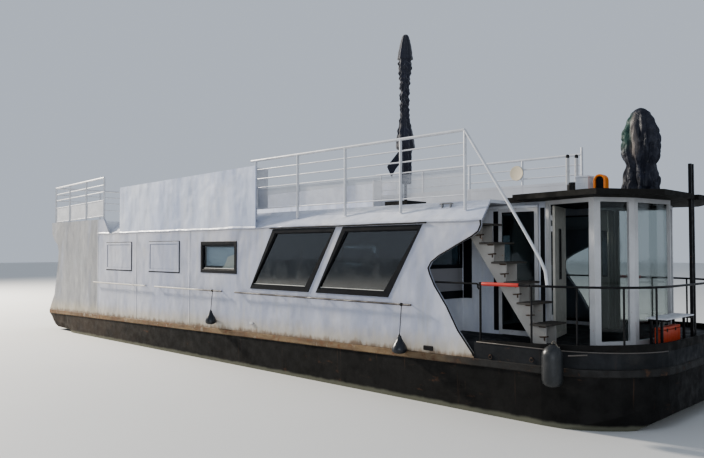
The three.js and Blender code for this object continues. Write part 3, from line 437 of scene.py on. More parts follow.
def dress(obj, look):
    obj.data.materials.clear()
    obj.data.materials.append(LOOKS[look])


for part in frame["record"]["subparts"]:
    node, slot = part["node"], part["material_slot"]
    both_sides = node.removesuffix("_starboard").removesuffix("_port")
    dress(NODES[node], OWN_LOOK.get(both_sides) or SLOT_LOOK.get(slot, slot))


# Making pieces.

def piece(name, verts, faces, look, slot=None, body="boat", replaces=None, bevel=0, smooth=False):
    """A mesh in this frame that rides on a body. look: the material's name. slot: not used."""
    mesh = bpy.data.meshes.new(name)
    mesh.from_pydata([tuple(v) for v in verts], [], faces)
    bm = bmesh.new()
    bm.from_mesh(mesh)
    bmesh.ops.recalc_face_normals(bm, faces=bm.faces)
    bm.to_mesh(mesh)
    bm.free()
    if smooth:
        mesh.shade_smooth()
    obj = linked(name, mesh)
    dress(obj, look)
    if bevel:
        made = obj.modifiers.new("edges", "BEVEL")
        made.width, made.segments, made.limit_method = bevel, 2, "ANGLE"
    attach(obj, body)
    if replaces:
        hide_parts(replaces)
    return obj


class Build:
    """Collects boxes, prisms, tubes and turned shapes into one list of points and faces."""

    def __init__(self):
        self.verts, self.faces = [], []

    def add(self, verts, faces):
        start = len(self.verts)
        self.verts += [Vector(v) for v in verts]
        self.faces += [tuple(start + i for i in f) for f in faces]
        return self

    def box(self, corner, opposite):
        xs, ys, zs = (sorted(pair) for pair in zip(corner, opposite))
        return self.add([(x, y, z) for x in xs for y in ys for z in zs],
                        [(0, 1, 3, 2), (4, 6, 7, 5), (0, 4, 5, 1), (2, 3, 7, 6), (0, 2, 6, 4), (1, 5, 7, 3)])

    def prism(self, outline, depth):
        """outline: points in a plane, depth: the Vector to the other side."""
        n = len(outline)
        far = [Vector(p) + Vector(depth) for p in outline]
        return self.add(list(outline) + far, [tuple(range(n)), tuple(range(2 * n - 1, n - 1, -1))]
                        + [(i, (i + 1) % n, n + (i + 1) % n, n + i) for i in range(n)])

    def ring(self, outer, inner, depth):
        """A frame between two outlines with as many corners."""
        n = len(outer)
        near = [Vector(p) for p in (*outer, *inner)]
        faces = []
        for i in range(n):
            j = (i + 1) % n
            faces += [(i, j, n + j, n + i), (2 * n + i, 3 * n + i, 3 * n + j, 2 * n + j),
                      (i, 2 * n + i, 2 * n + j, j), (n + i, n + j, 3 * n + j, 3 * n + i)]
        return self.add(near + [p + Vector(depth) for p in near], faces)

    def tube(self, path, radius, sides=12):
        """radius: one number, or one for each point of the path."""
        path = [Vector(p) for p in path]
        radii = radius if isinstance(radius, (list, tuple)) else [radius] * len(path)
        side, rings = None, []
        for i, point in enumerate(path):
            along = (path[min(i + 1, len(path) - 1)] - path[max(i - 1, 0)]).normalized()
            if side is None:
                side = along.orthogonal().normalized()
            side = (side - along * side.dot(along)).normalized()
            other = along.cross(side)
            rings.append([point + (side * c + other * s) * radii[i] for c, s in circle(sides)])
        return self.rings(rings)

    def rings(self, rings):
        n = len(rings[0])
        faces = [tuple(range(n - 1, -1, -1)), tuple((len(rings) - 1) * n + k for k in range(n))]
        return self.add([v for ring in rings for v in ring], faces + skin_faces(len(rings), n))

    def turned(self, centre, profile, sides=24):
        """profile: radius and height pairs."""
        return self.rings([[Vector(centre) + Vector((r * c, r * s, z)) for c, s in circle(sides)]
                           for r, z in profile])

    def make(self, name, look, slot=None, **options):
        return piece(name, self.verts, self.faces, look, slot, **options)


def skin_faces(count, n):
    """Faces between rings of n points each."""
    return [(r * n + k, r * n + (k + 1) % n, (r + 1) * n + (k + 1) % n, (r + 1) * n + k)
            for r in range(count - 1) for k in range(n)]


# Side windows.

# columns: node name, lower corners' x, upper corners' x, bottom and top z
WINDOWS = (
    ("window_aft", (-0.7, 0.59), (-0.7, 0.59), (2.32, 2.98)),
    ("window_middle", (1.04, 2.74), (1.74, 3.44), (2.05, 3.19)),
    ("window_forward", (2.94, 4.64), (3.62, 5.34), (2.05, 3.19)),
)
# columns: outer inset, inner inset, how far proud of the wall, depth
WINDOW_RINGS = ((0.001, 0.072, 0.013, 0.06), (0.07, 0.094, 0.002, 0.045))
BEAD_INSET, BEAD_END, BEAD_HIGH, BEAD_DEEP = 0.094, 0.01, 0.012, 0.014


def window_outline(window, sign, inset, out):
    """The window's corners, moved in by inset, on a plane out metres proud of the wall."""
    _, low, high, (z0, z1) = window
    return on_plane(sign * (WALL_Y + out), (
        (low[0] + inset, z0 + inset), (low[1] - inset, z0 + inset),
        (high[1] - inset, z1 - inset), (high[0] + inset, z1 - inset)))


for side, sign in SIDES:
    for window in WINDOWS:
        name = f"{window[0]}_{side}"
        surround = Build()
        for outer, inner, out, depth in WINDOW_RINGS:
            surround.ring(window_outline(window, sign, outer, out), window_outline(window, sign, inner, out),
                          (0, -sign * depth, 0))
        surround.make(f"{name}_frame", "frame_dark", "window_dark", replaces=name, bevel=0.005)
        glass = "small_glass" if window[0] == "window_aft" else "window_glass"
        Build().prism(window_outline(window, sign, 0.09, -0.02), (0, -sign * 0.008, 0)).make(
            f"{name}_pane", glass, "window_dark")
        # pale bead along the foot of the glass
        a, b = window_outline(window, sign, BEAD_INSET, -0.004)[:2]
        Build().box(a + Vector((BEAD_END, 0, 0)), b + Vector((-BEAD_END, -sign * BEAD_DEEP, BEAD_HIGH))).make(
            f"{name}_bead", "bead_pale", "door_white", bevel=0.003)

# behind the small window: a blind that is partly down, and a pale box on the sill
# columns: x, z of the corners
BLIND = rect(-0.58, 0.47, 2.47, 2.86)
SILL_BOX = ((0, 2.41), (0.5, 2.41), (0.5, 2.72), (0.22, 2.66), (0.12, 2.5))
for side, sign in SIDES:
    Build().prism(on_plane(sign * (WALL_Y - 0.066), BLIND), (0, -sign * 0.004, 0)).make(
        f"window_blind_{side}", "blind_blue", "window_dark", bevel=0.001)
    Build().prism(on_plane(sign * (WALL_Y - 0.044), SILL_BOX), (0, -sign * 0.018, 0)).make(
        f"window_sill_box_{side}", "blind_pale", "window_dark", bevel=0.002)


# Side walls: trim, blanked windows, gutter.

# columns: first x, last x, bottom z, top z
BLANKED = ((-5.06, -3.75, 2.31, 2.985), (-2.89, -1.57, 2.31, 2.99))
BLANK_RIM, BLANK_SHEET = 0.05, 0.06
# columns: x, z
GUTTER = ((1.66, 3.196), (5.42, 3.205), (5.42, 3.225), (1.66, 3.214))
CUT_EDGE = (
    (6.25, 1.3), (6.236, 1.333), (5.977, 1.642), (5.776, 1.98), (5.556, 2.273), (5.47, 2.44),
    (5.44, 2.528), (5.5, 2.626), (5.645, 2.721), (6.23, 3), (6.34, 3.069), (6.385, 3.16),
    (6.375, 3.225),
)
for side, sign in SIDES:
    y = sign * (WALL_Y + 0.001)
    Build().tube(on_plane(sign * (WALL_Y - 0.004), CUT_EDGE), 0.011, 8).make(
        f"cut_out_trim_{side}", "trim_black", "rail_black", smooth=True)
    for i, (x0, x1, z0, z1) in enumerate(BLANKED):
        name = f"blanked_window_{i + 1}"
        plate = Build().ring(on_plane(y, rect(x0, x1, z0, z1)), on_plane(y, rect(x0, x1, z0, z1, BLANK_RIM)),
                             (0, sign * 0.014, 0))
        low, _, high, _ = on_plane(y, rect(x0, x1, z0, z1, BLANK_SHEET))
        plate.box(low, high + Vector((0, sign * 0.004, 0)))
        plate.make(f"{name}_{side}", "wall_white", bevel=0.003)
        # dark seal round the plate, widened under it and forward of it into painted shadow
        Build().ring(on_plane(y, rect(x0 - 0.014, x1 + 0.026, z0 - 0.026, z1 + 0.014)),
                     on_plane(y, rect(x0, x1, z0, z1, 0.002)), (0, sign * 0.004, 0)).make(
            f"{name}_gap_and_shadow_{side}", "trim_black", "rail_black")
    Build().prism(on_plane(y, GUTTER), (0, sign * 0.03, 0)).make(
        f"drip_gutter_{side}", "trim_black", "rail_black", bevel=0.003)

Build().box(at(5.36, -WALL_Y - 0.022, 1.295), at(5.54, -WALL_Y - 0.001, 1.365)).make(
    "wall_vent", "trim_black", "rail_black", bevel=0.01)
Build().box(at(1.05, -WALL_Y - 0.03, 1.36), at(1.15, -WALL_Y - 0.001, 1.4)).make(
    "wall_bracket", "frame_white", "wall_white", bevel=0.004)


# Sliding door: a framed glass leaf.

DOOR = "sliding_door_starboard"
DOOR_RAIL, DOOR_FOOT_RAIL = 0.06, 0.075


def drawn_in(points, by):
    """The points, each moved by that much towards their middle."""
    mid = sum(points, Vector()) / len(points)
    return [p + (mid - p).normalized() * by for p in points]


lo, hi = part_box(DOOR)
depth = Vector((0, hi.y - lo.y, 0))
outer = [Vector((x, lo.y, z)) for x, z in rect(lo.x, hi.x, lo.z, hi.z)]
hole = [Vector((x, lo.y, z)) for x, z in
        rect(lo.x + DOOR_RAIL, hi.x - DOOR_RAIL, lo.z + DOOR_FOOT_RAIL, hi.z - DOOR_RAIL)]
Build().ring(outer, hole, depth).make(f"{DOOR}_frame", "frame_white", "door_white", body=DOOR, replaces=DOOR,
                                      bevel=0.004)
sealed = [p + depth * 0.35 for p in hole]
Build().ring(sealed, drawn_in(sealed, 0.018), depth * 0.3).make(
    f"{DOOR}_seal", "trim_black", "door_white", body=DOOR)
Build().prism([p + depth * 0.05 for p in drawn_in(sealed, 0.004)], depth * 0.15).make(
    f"{DOOR}_pane", "cabin_glass", "door_white", body=DOOR)

LINING_Y, LINING = 1.1003, 0.0024    # dark strips laid on the vestibule walls
# a narrow fixed light aft of the sliding door, and forward of it a dark strip of painted shade where the door
# closes on the wall
# columns: name, x from, x to, z from, z to
for name, *edges in (("light", 5.94, 6.046, 1.56, 3.4), ("jamb", 6.752, 6.822, 1.53, 3.425)):
    Build().prism(on_plane(-LINING_Y, rect(*edges)), (0, -LINING, 0)).make(
        f"sliding_door_{name}", "frame_dark", "window_dark")


# Bow doors, open at rest. u runs along the leaf from the pin, v through it.

PIN = Vector((6.95182, -1.12403, 0))
DOORWAY_X, DOORWAY_Y = 0.865, -0.26    # from post to post, to starboard
OPEN_ANGLE = radians(122)
LEAF_U = (0.015, hypot(DOORWAY_X, DOORWAY_Y) - 0.095 - 0.068 - 0.008)    # clear of both posts
LEAF_Z = (1.514, 3.448)
OUTER_V, INNER_V = -0.038, -0.002
LIGHT = (0.28, 0.45, 2.36, 3.12)    # the leaf's narrow light: u from, u to, z from, z to
turn = Matrix.Rotation(atan2(DOORWAY_Y, DOORWAY_X) + OPEN_ANGLE, 3, "Z")


def on_leaf(sign, v, points):
    """u, z pairs as points on the leaf."""
    turned = [(turn @ Vector((u, v, 0)) + PIN, z) for u, z in points]
    return [at(p.x, -sign * p.y, z) for p, z in turned]


(u0, u1), (z0, z1) = LEAF_U, LEAF_Z
rim = rect(u0 + 0.055, u1 - 0.055, z0 + 0.07, z1 - 0.055)
light, tight = rect(*LIGHT), rect(*LIGHT, 0.014)
for side, sign in SIDES:
    body = f"bow_door_{side}"
    outer = on_leaf(sign, OUTER_V, rect(u0, u1, z0, z1))
    depth = on_leaf(sign, INNER_V, [(u0, z0)])[0] - outer[0]
    leaf = Build().ring(outer, on_leaf(sign, OUTER_V, rim), depth)
    leaf.ring(on_leaf(sign, OUTER_V + 0.006, rim), on_leaf(sign, OUTER_V + 0.006, light), depth * 0.66)
    leaf.make(f"{body}_leaf", "door_paint", "door_white", body=body, replaces=body, bevel=0.004)
    v = OUTER_V + 0.004
    Build().ring(on_leaf(sign, v, light), on_leaf(sign, v, tight), depth * 0.78).make(
        f"{body}_bead", "trim_black", "window_dark", body=body, bevel=0.002)
    Build().prism(on_leaf(sign, OUTER_V + 0.014, tight), depth * 0.18).make(
        f"{body}_light", "window_glass", "window_dark", body=body)
    handle = Build()
    for v in (OUTER_V - 0.0025, INNER_V - 0.0015):
        handle.prism(on_leaf(sign, v, rect(u1 - 0.048, u1 - 0.018, 2.46, 2.64)), depth.normalized() * 0.004)
    handle.make(f"{body}_handle", "rail_black", body=body, bevel=0.001)


# Stair.

STEPS, RISE, GOING, TREAD = 6, 0.28, 0.205, 0.245
STAIR_X, STAIR_Y = 7.22, (-1.86, -1.29)
STRINGER_Y = (STAIR_Y[0] + 0.06, STAIR_Y[0] + 0.33)
LUG_Y = STRINGER_Y[0] - 0.012
# columns: x forward of the step's back edge, z from the tread's top, then from the lower lug's height
LUG = ((0.09, -0.032), (0.2, -0.032), (0.2, -0.05), (0.11, -0.05))
LOW_LUG = ((0.1, 0), (0.22, 0.012), (0.22, -0.004), (0.12, -0.014))

# the x of each step's back edge and the z of its tread
steps = [(STAIR_X - (i + 1) * GOING, DECK_Z + 0.015 + (i + 1) * RISE) for i in range(STEPS)]
saw = [(STAIR_X, DECK_Z + 0.001)]
for back, z in steps:
    saw += [(back + GOING, z - 0.03), (back, z - 0.03)]
saw += [(steps[-1][0], steps[-1][1] - 0.21), (STAIR_X - 0.186, DECK_Z + 0.001)]
stringers, lugs, treads = Build(), Build(), Build()
for y in STRINGER_Y:
    stringers.prism(on_plane(y, saw), (0, 0.016, 0))
for back, z in steps:
    low = z - RISE * 0.62
    lugs.prism(on_plane(LUG_Y, [(back + dx, z + dz) for dx, dz in LUG]), (0, 0.03, 0))
    lugs.prism(on_plane(LUG_Y, [(back + dx, low + dz) for dx, dz in LOW_LUG]), (0, 0.05, 0))
    lugs.box(at(back + 0.175, LUG_Y, low - 0.05), at(back + 0.19, LUG_Y + 0.05, low))
    x0 = back - 0.01
    treads.box(at(x0, STAIR_Y[0], z - 0.03), at(x0 + TREAD, STAIR_Y[1], z - 0.004))
    for x in (x0 + 0.02 + k * 0.045 for k in range(5)):
        treads.box(at(x, STAIR_Y[0] + 0.02, z - 0.005), at(x + 0.025, STAIR_Y[1] - 0.02, z))
stringers.make("stair_stringers", "stair_cream", replaces="stair", bevel=0.002)
lugs.make("stair_lugs", "rust_steel", "stair_cream", bevel=0.001)
treads.make("stair_treads", "tread_grey", "stair_cream", bevel=0.003)


# Perforated panels on the terrace rails.

def lattice(node, pitch=0.021, hole=0.31):
    """A sheet with a square hole in every cell. hole: half its width as a share of the cell."""
    lo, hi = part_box(node)
    y = (lo.y + hi.y) / 2
    nx, nz = round((hi.x - lo.x) / pitch), round((hi.z - lo.z) / pitch)
    sx, sz = (hi.x - lo.x) / nx, (hi.z - lo.z) / nz
    verts = [(lo.x + i * sx, y, lo.z + k * sz) for i in range(nx + 1) for k in range(nz + 1)]
    faces = []
    for i in range(nx):
        for k in range(nz):
            cx, cz = lo.x + (i + 0.5) * sx, lo.z + (k + 0.5) * sz
            dx, dz = hole * sx, hole * sz
            n = len(verts)
            verts += [(x, y, z) for x, z in rect(cx - dx, cx + dx, cz - dz, cz + dz)]
            a, b = i * (nz + 1) + k, (i + 1) * (nz + 1) + k
            cell = (a, b, b + 1, a + 1)
            faces += [(cell[j], cell[(j + 1) % 4], n + (j + 1) % 4, n + j) for j in range(4)]
    piece(f"{node}_mesh", verts, faces, "panel_grey", "rail_grey", replaces=node)


lattice("perforated_panel_starboard")
lattice("perforated_panel_port", hole=0.2)


# The saloon's front windows, and the seal of the port vestibule's pane.

BULKHEAD_FACE = 5.3505
# columns: name, look, thickness, half-widths from and to, bottom z, top z
FRONT_BARS = (("panel", "curtain_grey", 0.008, 1.12, 2.03, 2.15, 2.51),
              ("sill", "frame_dark", 0.016, 1.12, 2.03, 2.03, 2.15))


def across(x, sign, *edges):
    """A rectangle across the boat at x."""
    return [at(x, sign * y, z) for y, z in rect(*edges)]


for side, sign in SIDES:
    Build().ring(across(BULKHEAD_FACE, sign, 1.12, 2.03, 2.51, 3.185),
                 across(BULKHEAD_FACE, sign, 1.185, 1.935, 2.57, 3.125), (0.014, 0, 0)).make(
        f"front_window_frame_{side}", "frame_dark", "window_dark", bevel=0.003)
    Build().prism(across(5.325, sign, 1.163, 1.957, 2.548, 3.147), (0.008, 0, 0)).make(
        f"front_window_pane_{side}", "window_glass", "window_dark")
    for name, look_of, thick, *edges in FRONT_BARS:
        Build().prism(across(BULKHEAD_FACE, sign, *edges), (thick, 0, 0)).make(
            f"front_window_{name}_{side}", look_of, "window_dark", bevel=0.002)
    post = rect(5.368, 5.53 if side == "starboard" else 5.47, 2.03, 3.25)
    Build().prism(on_plane(sign * LINING_Y, post), (0, sign * LINING, 0)).make(
        f"front_window_post_{side}", "frame_dark", "window_dark")

SEAL_Y = 1.081
Build().ring(on_plane(SEAL_Y, rect(5.481, 6.789, 1.561, 3.404)),
             on_plane(SEAL_Y, rect(5.505, 6.765, 1.585, 3.38)), (0, 0.012, 0)).make(
    "vestibule_pane_seal", "trim_black", "window_dark", bevel=0.002)


# Bow cabin: slats of a drawn-back blind behind the starboard front pane.

PANE_FROM, PANE_TO = Vector((7.735, -1.42, 0)), Vector((8.058, -0.885, 0))
SLAT_COUNT, SLAT_FIRST, SLAT_PITCH, SLAT_WIDE, SLAT_OFF = 10, 0.27, 0.019, 0.085, 0.085
pane_along = (PANE_TO - PANE_FROM).normalized()
pane_in = Vector((-pane_along.y, pane_along.x, 0))


def upright(a, b, z0, z1):
    """A rectangle that stands on the line from a to b."""
    return [at(p.x, p.y, z) for p, z in ((a, z0), (b, z0), (b, z1), (a, z1))]


slats = Build()
for i in range(SLAT_COUNT):
    start = PANE_FROM + pane_along * (SLAT_FIRST + i * SLAT_PITCH) + pane_in * SLAT_OFF
    lean = (pane_in + pane_along * (0.5 + 0.06 * sin(2.3 * i))).normalized() * SLAT_WIDE
    slats.prism(upright(start, start + lean, 1.72, 3.34), pane_along * 0.003)
slats.make("cabin_blind_slats", "blind_pale", "bench_white", bevel=0.0008)
ends = [PANE_FROM + pane_along * u + pane_in * 0.09 for u in (0.1, 0.56)]
Build().prism(upright(*ends, 3.345, 3.375), pane_in * 0.04).make(
    "cabin_blind_track", "frame_white", "door_white", bevel=0.003)


# Boarding bars: a black bar on its hinge sleeve, with a red foam sleeve.

GATE_X, GATE_Y, GATE_Z = 6.33, 2.045, 2.32
# columns: distance from the hinge, radius
FOAM = ((0.027, 0.0165), (0.029, 0.023), (0.037, 0.0258), (0.14, 0.0262), (0.31, 0.0256), (0.5, 0.0262),
        (0.612, 0.0258), (0.62, 0.023), (0.622, 0.0165))
for side, sign in SIDES:
    pin = at(GATE_X, sign * GATE_Y, GATE_Z)
    body = f"boarding_bar_{side}"
    bar = Build().tube([pin - Vector((0, 0, 0.0236)), pin + Vector((0, 0, 0.0236))], 0.0236, 28)
    bar.tube([pin, pin + Vector((0.789, 0, 0))], 0.0158, 20)
    bar.make(f"{body}_bar", "rail_black", body=body, replaces=body, bevel=0.001)
    Build().tube([pin + Vector((x, 0, 0)) for x, _ in FOAM], [r for _, r in FOAM], 24).make(
        f"{body}_sleeve", "sleeve_red", "locker_orange", body=body, replaces=body, smooth=True)


# On the bow cabin's roof: lamp, flue, vent box.

ROOF_Z = 3.5936
LAMP_X = 7.485
FLUE_X, FLUE_Y = 6.95, -0.487


def arch(half, foot, top, y, turns=14):
    """An arch in the plane across y, round the lamp's middle."""
    curve = [(cos(a), sin(a)) for a in (pi * k / turns for k in range(turns + 1))]
    return on_plane(y, [(LAMP_X - half, foot), (LAMP_X + half, foot)]
                    + [(LAMP_X + half * c, top - half + half * s) for c, s in curve])


Build().ring(arch(0.094, ROOF_Z + 0.001, 3.899, -0.723), arch(0.064, ROOF_Z + 0.03, 3.869, -0.723),
             (0, 0.118, 0)).make(
    "roof_lamp_arch", "lamp_orange", "locker_orange", replaces="roof_lamp", bevel=0.007)
# the arch's opening filled with a dark sheet: painted shade inside it
Build().prism(arch(0.063, ROOF_Z + 0.031, 3.868, -0.69), (0, 0.06, 0)).make(
    "roof_lamp_opening_shade", "frame_dark", "locker_orange", bevel=0.004)

# columns: radius, height
FLUE_BASE = ((0.089, 0), (0.089, 0.014), (0.078, 0.02), (0.078, 0.085), (0.084, 0.09), (0.084, 0.104),
             (0.078, 0.109), (0.078, 0.19), (0.07, 0.222), (0.045, 0.236), (0.012, 0.239))
FLUE_PIPE = ((0.0275, 0), (0.0275, 0.4), (0.027, 0.41))
FLUE_COLLAR = ((0.028, 0.2), (0.0305, 0.202), (0.0305, 0.228), (0.028, 0.23))
FLUE_CAP = ((0.0235, 0.405), (0.028, 0.41), (0.028, 0.445), (0.021, 0.459), (0.006, 0.465))
Build().turned(at(FLUE_X, FLUE_Y, ROOF_Z), FLUE_BASE, 36).make(
    "flue_base", "rail_black", "pole_steel", replaces="flue", bevel=0.002)
flue_pipes, flue_caps = Build(), Build()
for off in (-0.048, 0.048):
    foot = at(FLUE_X + off, FLUE_Y + off, ROOF_Z + 0.2)
    flue_pipes.turned(foot, FLUE_PIPE).turned(foot, FLUE_COLLAR)
    flue_caps.turned(foot, FLUE_CAP)
flue_pipes.make("flue_pipes", "frame_white", "pole_steel", replaces="flue")
flue_caps.make("flue_caps", "rail_black", "pole_steel", replaces="flue", bevel=0.001)

lo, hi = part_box("vent_box")
vent_body = Build().box((lo.x + 0.006, lo.y + 0.006, lo.z), (hi.x - 0.006, hi.y - 0.006, hi.z - 0.034))
for z in (lo.z + 0.055 + k * 0.028 for k in range(6)):
    vent_body.box((hi.x - 0.007, lo.y + 0.04, z), (hi.x - 0.002, hi.y - 0.04, z + 0.014))
    vent_body.box((lo.x + 0.04, lo.y + 0.002, z), (hi.x - 0.04, lo.y + 0.007, z + 0.014))
vent_body.make("vent_box_body", "house_white", "wall_white", replaces="vent_box", bevel=0.003)
Build().box((lo.x, lo.y, hi.z - 0.033), hi).make(
    "vent_box_lid", "house_white", "wall_white", replaces="vent_box", bevel=0.008)


# A dished face on the port rail's disc.

# columns: radius, y
DISH_ROWS = ((0.01, 1.8326), (0.147, 1.8326), (0.149, 1.826), (0.146, 1.818), (0.139, 1.819), (0.1, 1.8245),
             (0.05, 1.828), (0.008, 1.829))
DISH_X, DISH_Z = 4.578, 4.338
rings = [on_plane(y, [(DISH_X + r * c, DISH_Z + r * s) for c, s in circle(48)]) for r, y in DISH_ROWS]
Build().rings(rings).make("rail_dish_face", "dish_beige", "rail_grey", bevel=0.002)


# Bow deck: bench, locker, and fittings along the bulwark.

BENCH_X, BENCH_Y, BENCH_TOP, BENCH_LEGS = 8.24, (-1.01, -0.012), 1.9, (-0.9, -0.1)
BENCH_SLATS, BENCH_SLAT, BENCH_PITCH = 6, 0.04, 0.048
bench_end = BENCH_X + (BENCH_SLATS - 1) * BENCH_PITCH + BENCH_SLAT
bench_slats, bench_frame = Build(), Build()
for x0 in (BENCH_X + i * BENCH_PITCH for i in range(BENCH_SLATS)):
    bench_slats.box(at(x0, BENCH_Y[0], BENCH_TOP - 0.02), at(x0 + BENCH_SLAT, BENCH_Y[1], BENCH_TOP))
for y in BENCH_LEGS:
    bench_frame.box(at(BENCH_X, y - 0.02, 1.85), at(bench_end, y + 0.02, 1.8795))
    for x0 in (BENCH_X + 0.015, BENCH_X + 0.155):
        bench_frame.box(at(x0, y - 0.015, 1.5003), at(x0 + 0.03, y + 0.015, 1.851))
bench_slats.make("bench_slats", "bench_white", replaces="bench", bevel=0.005)
bench_frame.make("bench_frame", "rail_black", "bench_white", replaces="bench", bevel=0.002)

locker_body, latches = Build().box(at(8.293, -0.846, 1.5006), at(8.382, -0.154, 1.712)), Build()
for y in (-0.78 + k * 0.14 for k in range(5)):
    locker_body.box(at(8.38, y, 1.53), at(8.3845, y + 0.06, 1.69))
for y in (-0.66, -0.36):
    latches.box(at(8.3835, y, 1.69), at(8.389, y + 0.035, 1.735))
locker_body.make("locker_body", "locker_orange", replaces="locker", bevel=0.004)
Build().box(at(8.29, -0.85, 1.716), at(8.385, -0.15, 1.76)).make(
    "locker_lid", "locker_orange", replaces="locker", bevel=0.012)
latches.make("locker_latches", "trim_black", "locker_orange", bevel=0.002)

STRAIGHT_TO, BOW_LONG = 7.3, 1.3    # the deck's sides run straight to here, then round the bow
# columns: x, z
MOORING_RINGS = ((6.531, 1.314), (7.176, 1.342))
BULWARK_BAR = ((7.68, 1.447), (7.79, 1.459), (7.9, 1.47))
BULWARK_STUBS = ((7.7, 1.449), (7.88, 1.468))
CLEAT_BAR = ((5.385, 3.508), (5.43, 3.516), (5.6, 3.516), (5.645, 3.508))
CLEAT_Y = 1.75


def bulwark(x, off=0):
    """Half the deck's width at x, plus off."""
    if x <= STRAIGHT_TO:
        return 2.105 + off
    t = min((x - STRAIGHT_TO) / BOW_LONG, 1)
    return 0.9 + (1.205 + off) * sqrt(1 - t * t)


deck_edge_x = [6.3, 6.8, 7.3] + [STRAIGHT_TO + BOW_LONG * sin(pi / 2 * k / 16) for k in range(1, 15)]
for side, sign in SIDES:
    moorings, y = Build(), sign * 2.112
    for x, z in MOORING_RINGS:
        hoop = [(x + 0.026 * c, z + 0.026 * s) for c, s in circle(24, closed=True)]
        moorings.tube(on_plane(sign * 2.113, hoop), 0.005, 10)
        moorings.box(at(x - 0.014, y - 0.009, z + 0.02), at(x + 0.014, y + 0.009, z + 0.036))
    moorings.make(f"mooring_rings_{side}", "rust_steel", "rail_black", bevel=0.001)
    bar = Build().tube([at(x, sign * bulwark(x, 0.03), z) for x, z in BULWARK_BAR], 0.01)
    for x, z in BULWARK_STUBS:
        bar.tube([at(x, sign * bulwark(x, off), z) for off in (-0.004, 0.028)], 0.007, 10)
    bar.make(f"bulwark_bar_{side}", "edge_worn", "rail_black", bevel=0.001)
    Build().tube([at(x, sign * bulwark(x, 0.001), 1.502) for x in deck_edge_x], 0.008, 8).make(
        f"deck_edge_{side}", "edge_worn", "rail_black", smooth=True)
    cleat, y = Build(), sign * CLEAT_Y
    for x in (5.43, 5.59):
        cleat.box(at(x, y - 0.018, 3.444), at(x + 0.022, y + 0.018, 3.512))
    cleat.tube(on_plane(y, CLEAT_BAR), [0.008, 0.013, 0.013, 0.008])
    cleat.make(f"roof_cleat_{side}", "pole_steel", bevel=0.002)


# Closed parasol and the covered item.

def tube_skin(name, centre, rings, look, replaces, thick=0.004):
    """One sheet of cloth round a centre: open rings joined into a skin, with its thickness inward."""
    verts = [centre + v for ring in rings for v in ring]
    faces = skin_faces(len(rings), len(rings[0]))
    obj = piece(name, verts, faces, look, "canopy_cloth", replaces=replaces, smooth=True)
    made = obj.modifiers.new("cloth", "SOLIDIFY")
    made.thickness, made.offset = thick, -1
    return obj


def eased(table, h):
    """Values between the rows of a table of height, value, value..."""
    for low, high in zip(table, table[1:]):
        if h <= high[0]:
            u = max(0, (h - low[0]) / (high[0] - low[0]))
            u = u * u * (3 - 2 * u)
            return [a + (b - a) * u for a, b in zip(low[1:], high[1:])]
    return list(table[-1][1:])


PARASOL = at(4.34, -1.33, 0)
# columns: height, radius, share of it in folds, crumple
CANOPY = (
    (3.93, 0.09, 0.22, 0.02), (4.15, 0.104, 0.26, 0.03), (4.44, 0.108, 0.26, 0.03),
    (4.49, 0.112, 0.2, 0.03), (4.53, 0.168, 0.14, 0.02), (4.66, 0.16, 0.16, 0.02),
    (4.8, 0.138, 0.2, 0.03), (4.96, 0.106, 0.24, 0.06), (5.1, 0.082, 0.24, 0.12),
    (5.3, 0.082, 0.2, 0.16), (5.55, 0.084, 0.2, 0.16), (5.74, 0.094, 0.2, 0.14),
    (5.86, 0.112, 0.18, 0.12), (5.97, 0.124, 0.16, 0.1), (6.045, 0.108, 0.16, 0.06),
    (6.06, 0.138, 0.12, 0.01), (6.16, 0.124, 0.14, 0.01), (6.28, 0.104, 0.16, 0.01),
    (6.38, 0.082, 0.18, 0.01), (6.45, 0.062, 0.16, 0.01), (6.485, 0.04, 0.1, 0),
    (6.497, 0.01, 0, 0),
)
CANOPY_TURNS, CANOPY_STEP = 96, 0.014


def canopy_radius(a, z):
    r, folds, crumple = eased(CANOPY, z)
    ribs = cos(8 * a + 1.3 * sin(1.7 * z) + 2.2 * z)
    fine = sin(17 * a - 6 * z + 2 * sin(3 * a + 5 * z))
    ruffle = sin(38 * z + 3 * sin(2 * a)) * sin(3 * a + 5 * z) + 0.6 * sin(71 * z + 4 * a)
    return r * (1 - folds * (0.5 - 0.38 * ribs - 0.12 * fine) + crumple * ruffle)


def canopy_ring(z):
    sway = Vector((0.01 * sin(2.1 * z), 0.01 * cos(1.7 * z), 0))
    return [sway + Vector((canopy_radius(a, z) * cos(a), canopy_radius(a, z) * sin(a), z))
            for a in angles(CANOPY_TURNS)]


foot, head = CANOPY[0][0], CANOPY[-1][0]
levels = int((head - foot) / CANOPY_STEP)
rings = [canopy_ring(foot + (head - foot) * i / levels) for i in range(levels + 1)]
canopy = tube_skin("parasol_canopy_cloth", PARASOL, rings, "cloth_dark", "parasol_canopy")

# the loose corner: a strip that hangs out aft and to starboard, folded along its length
FLAP_TURN = radians(-135)
FLAP_POINTS = 9
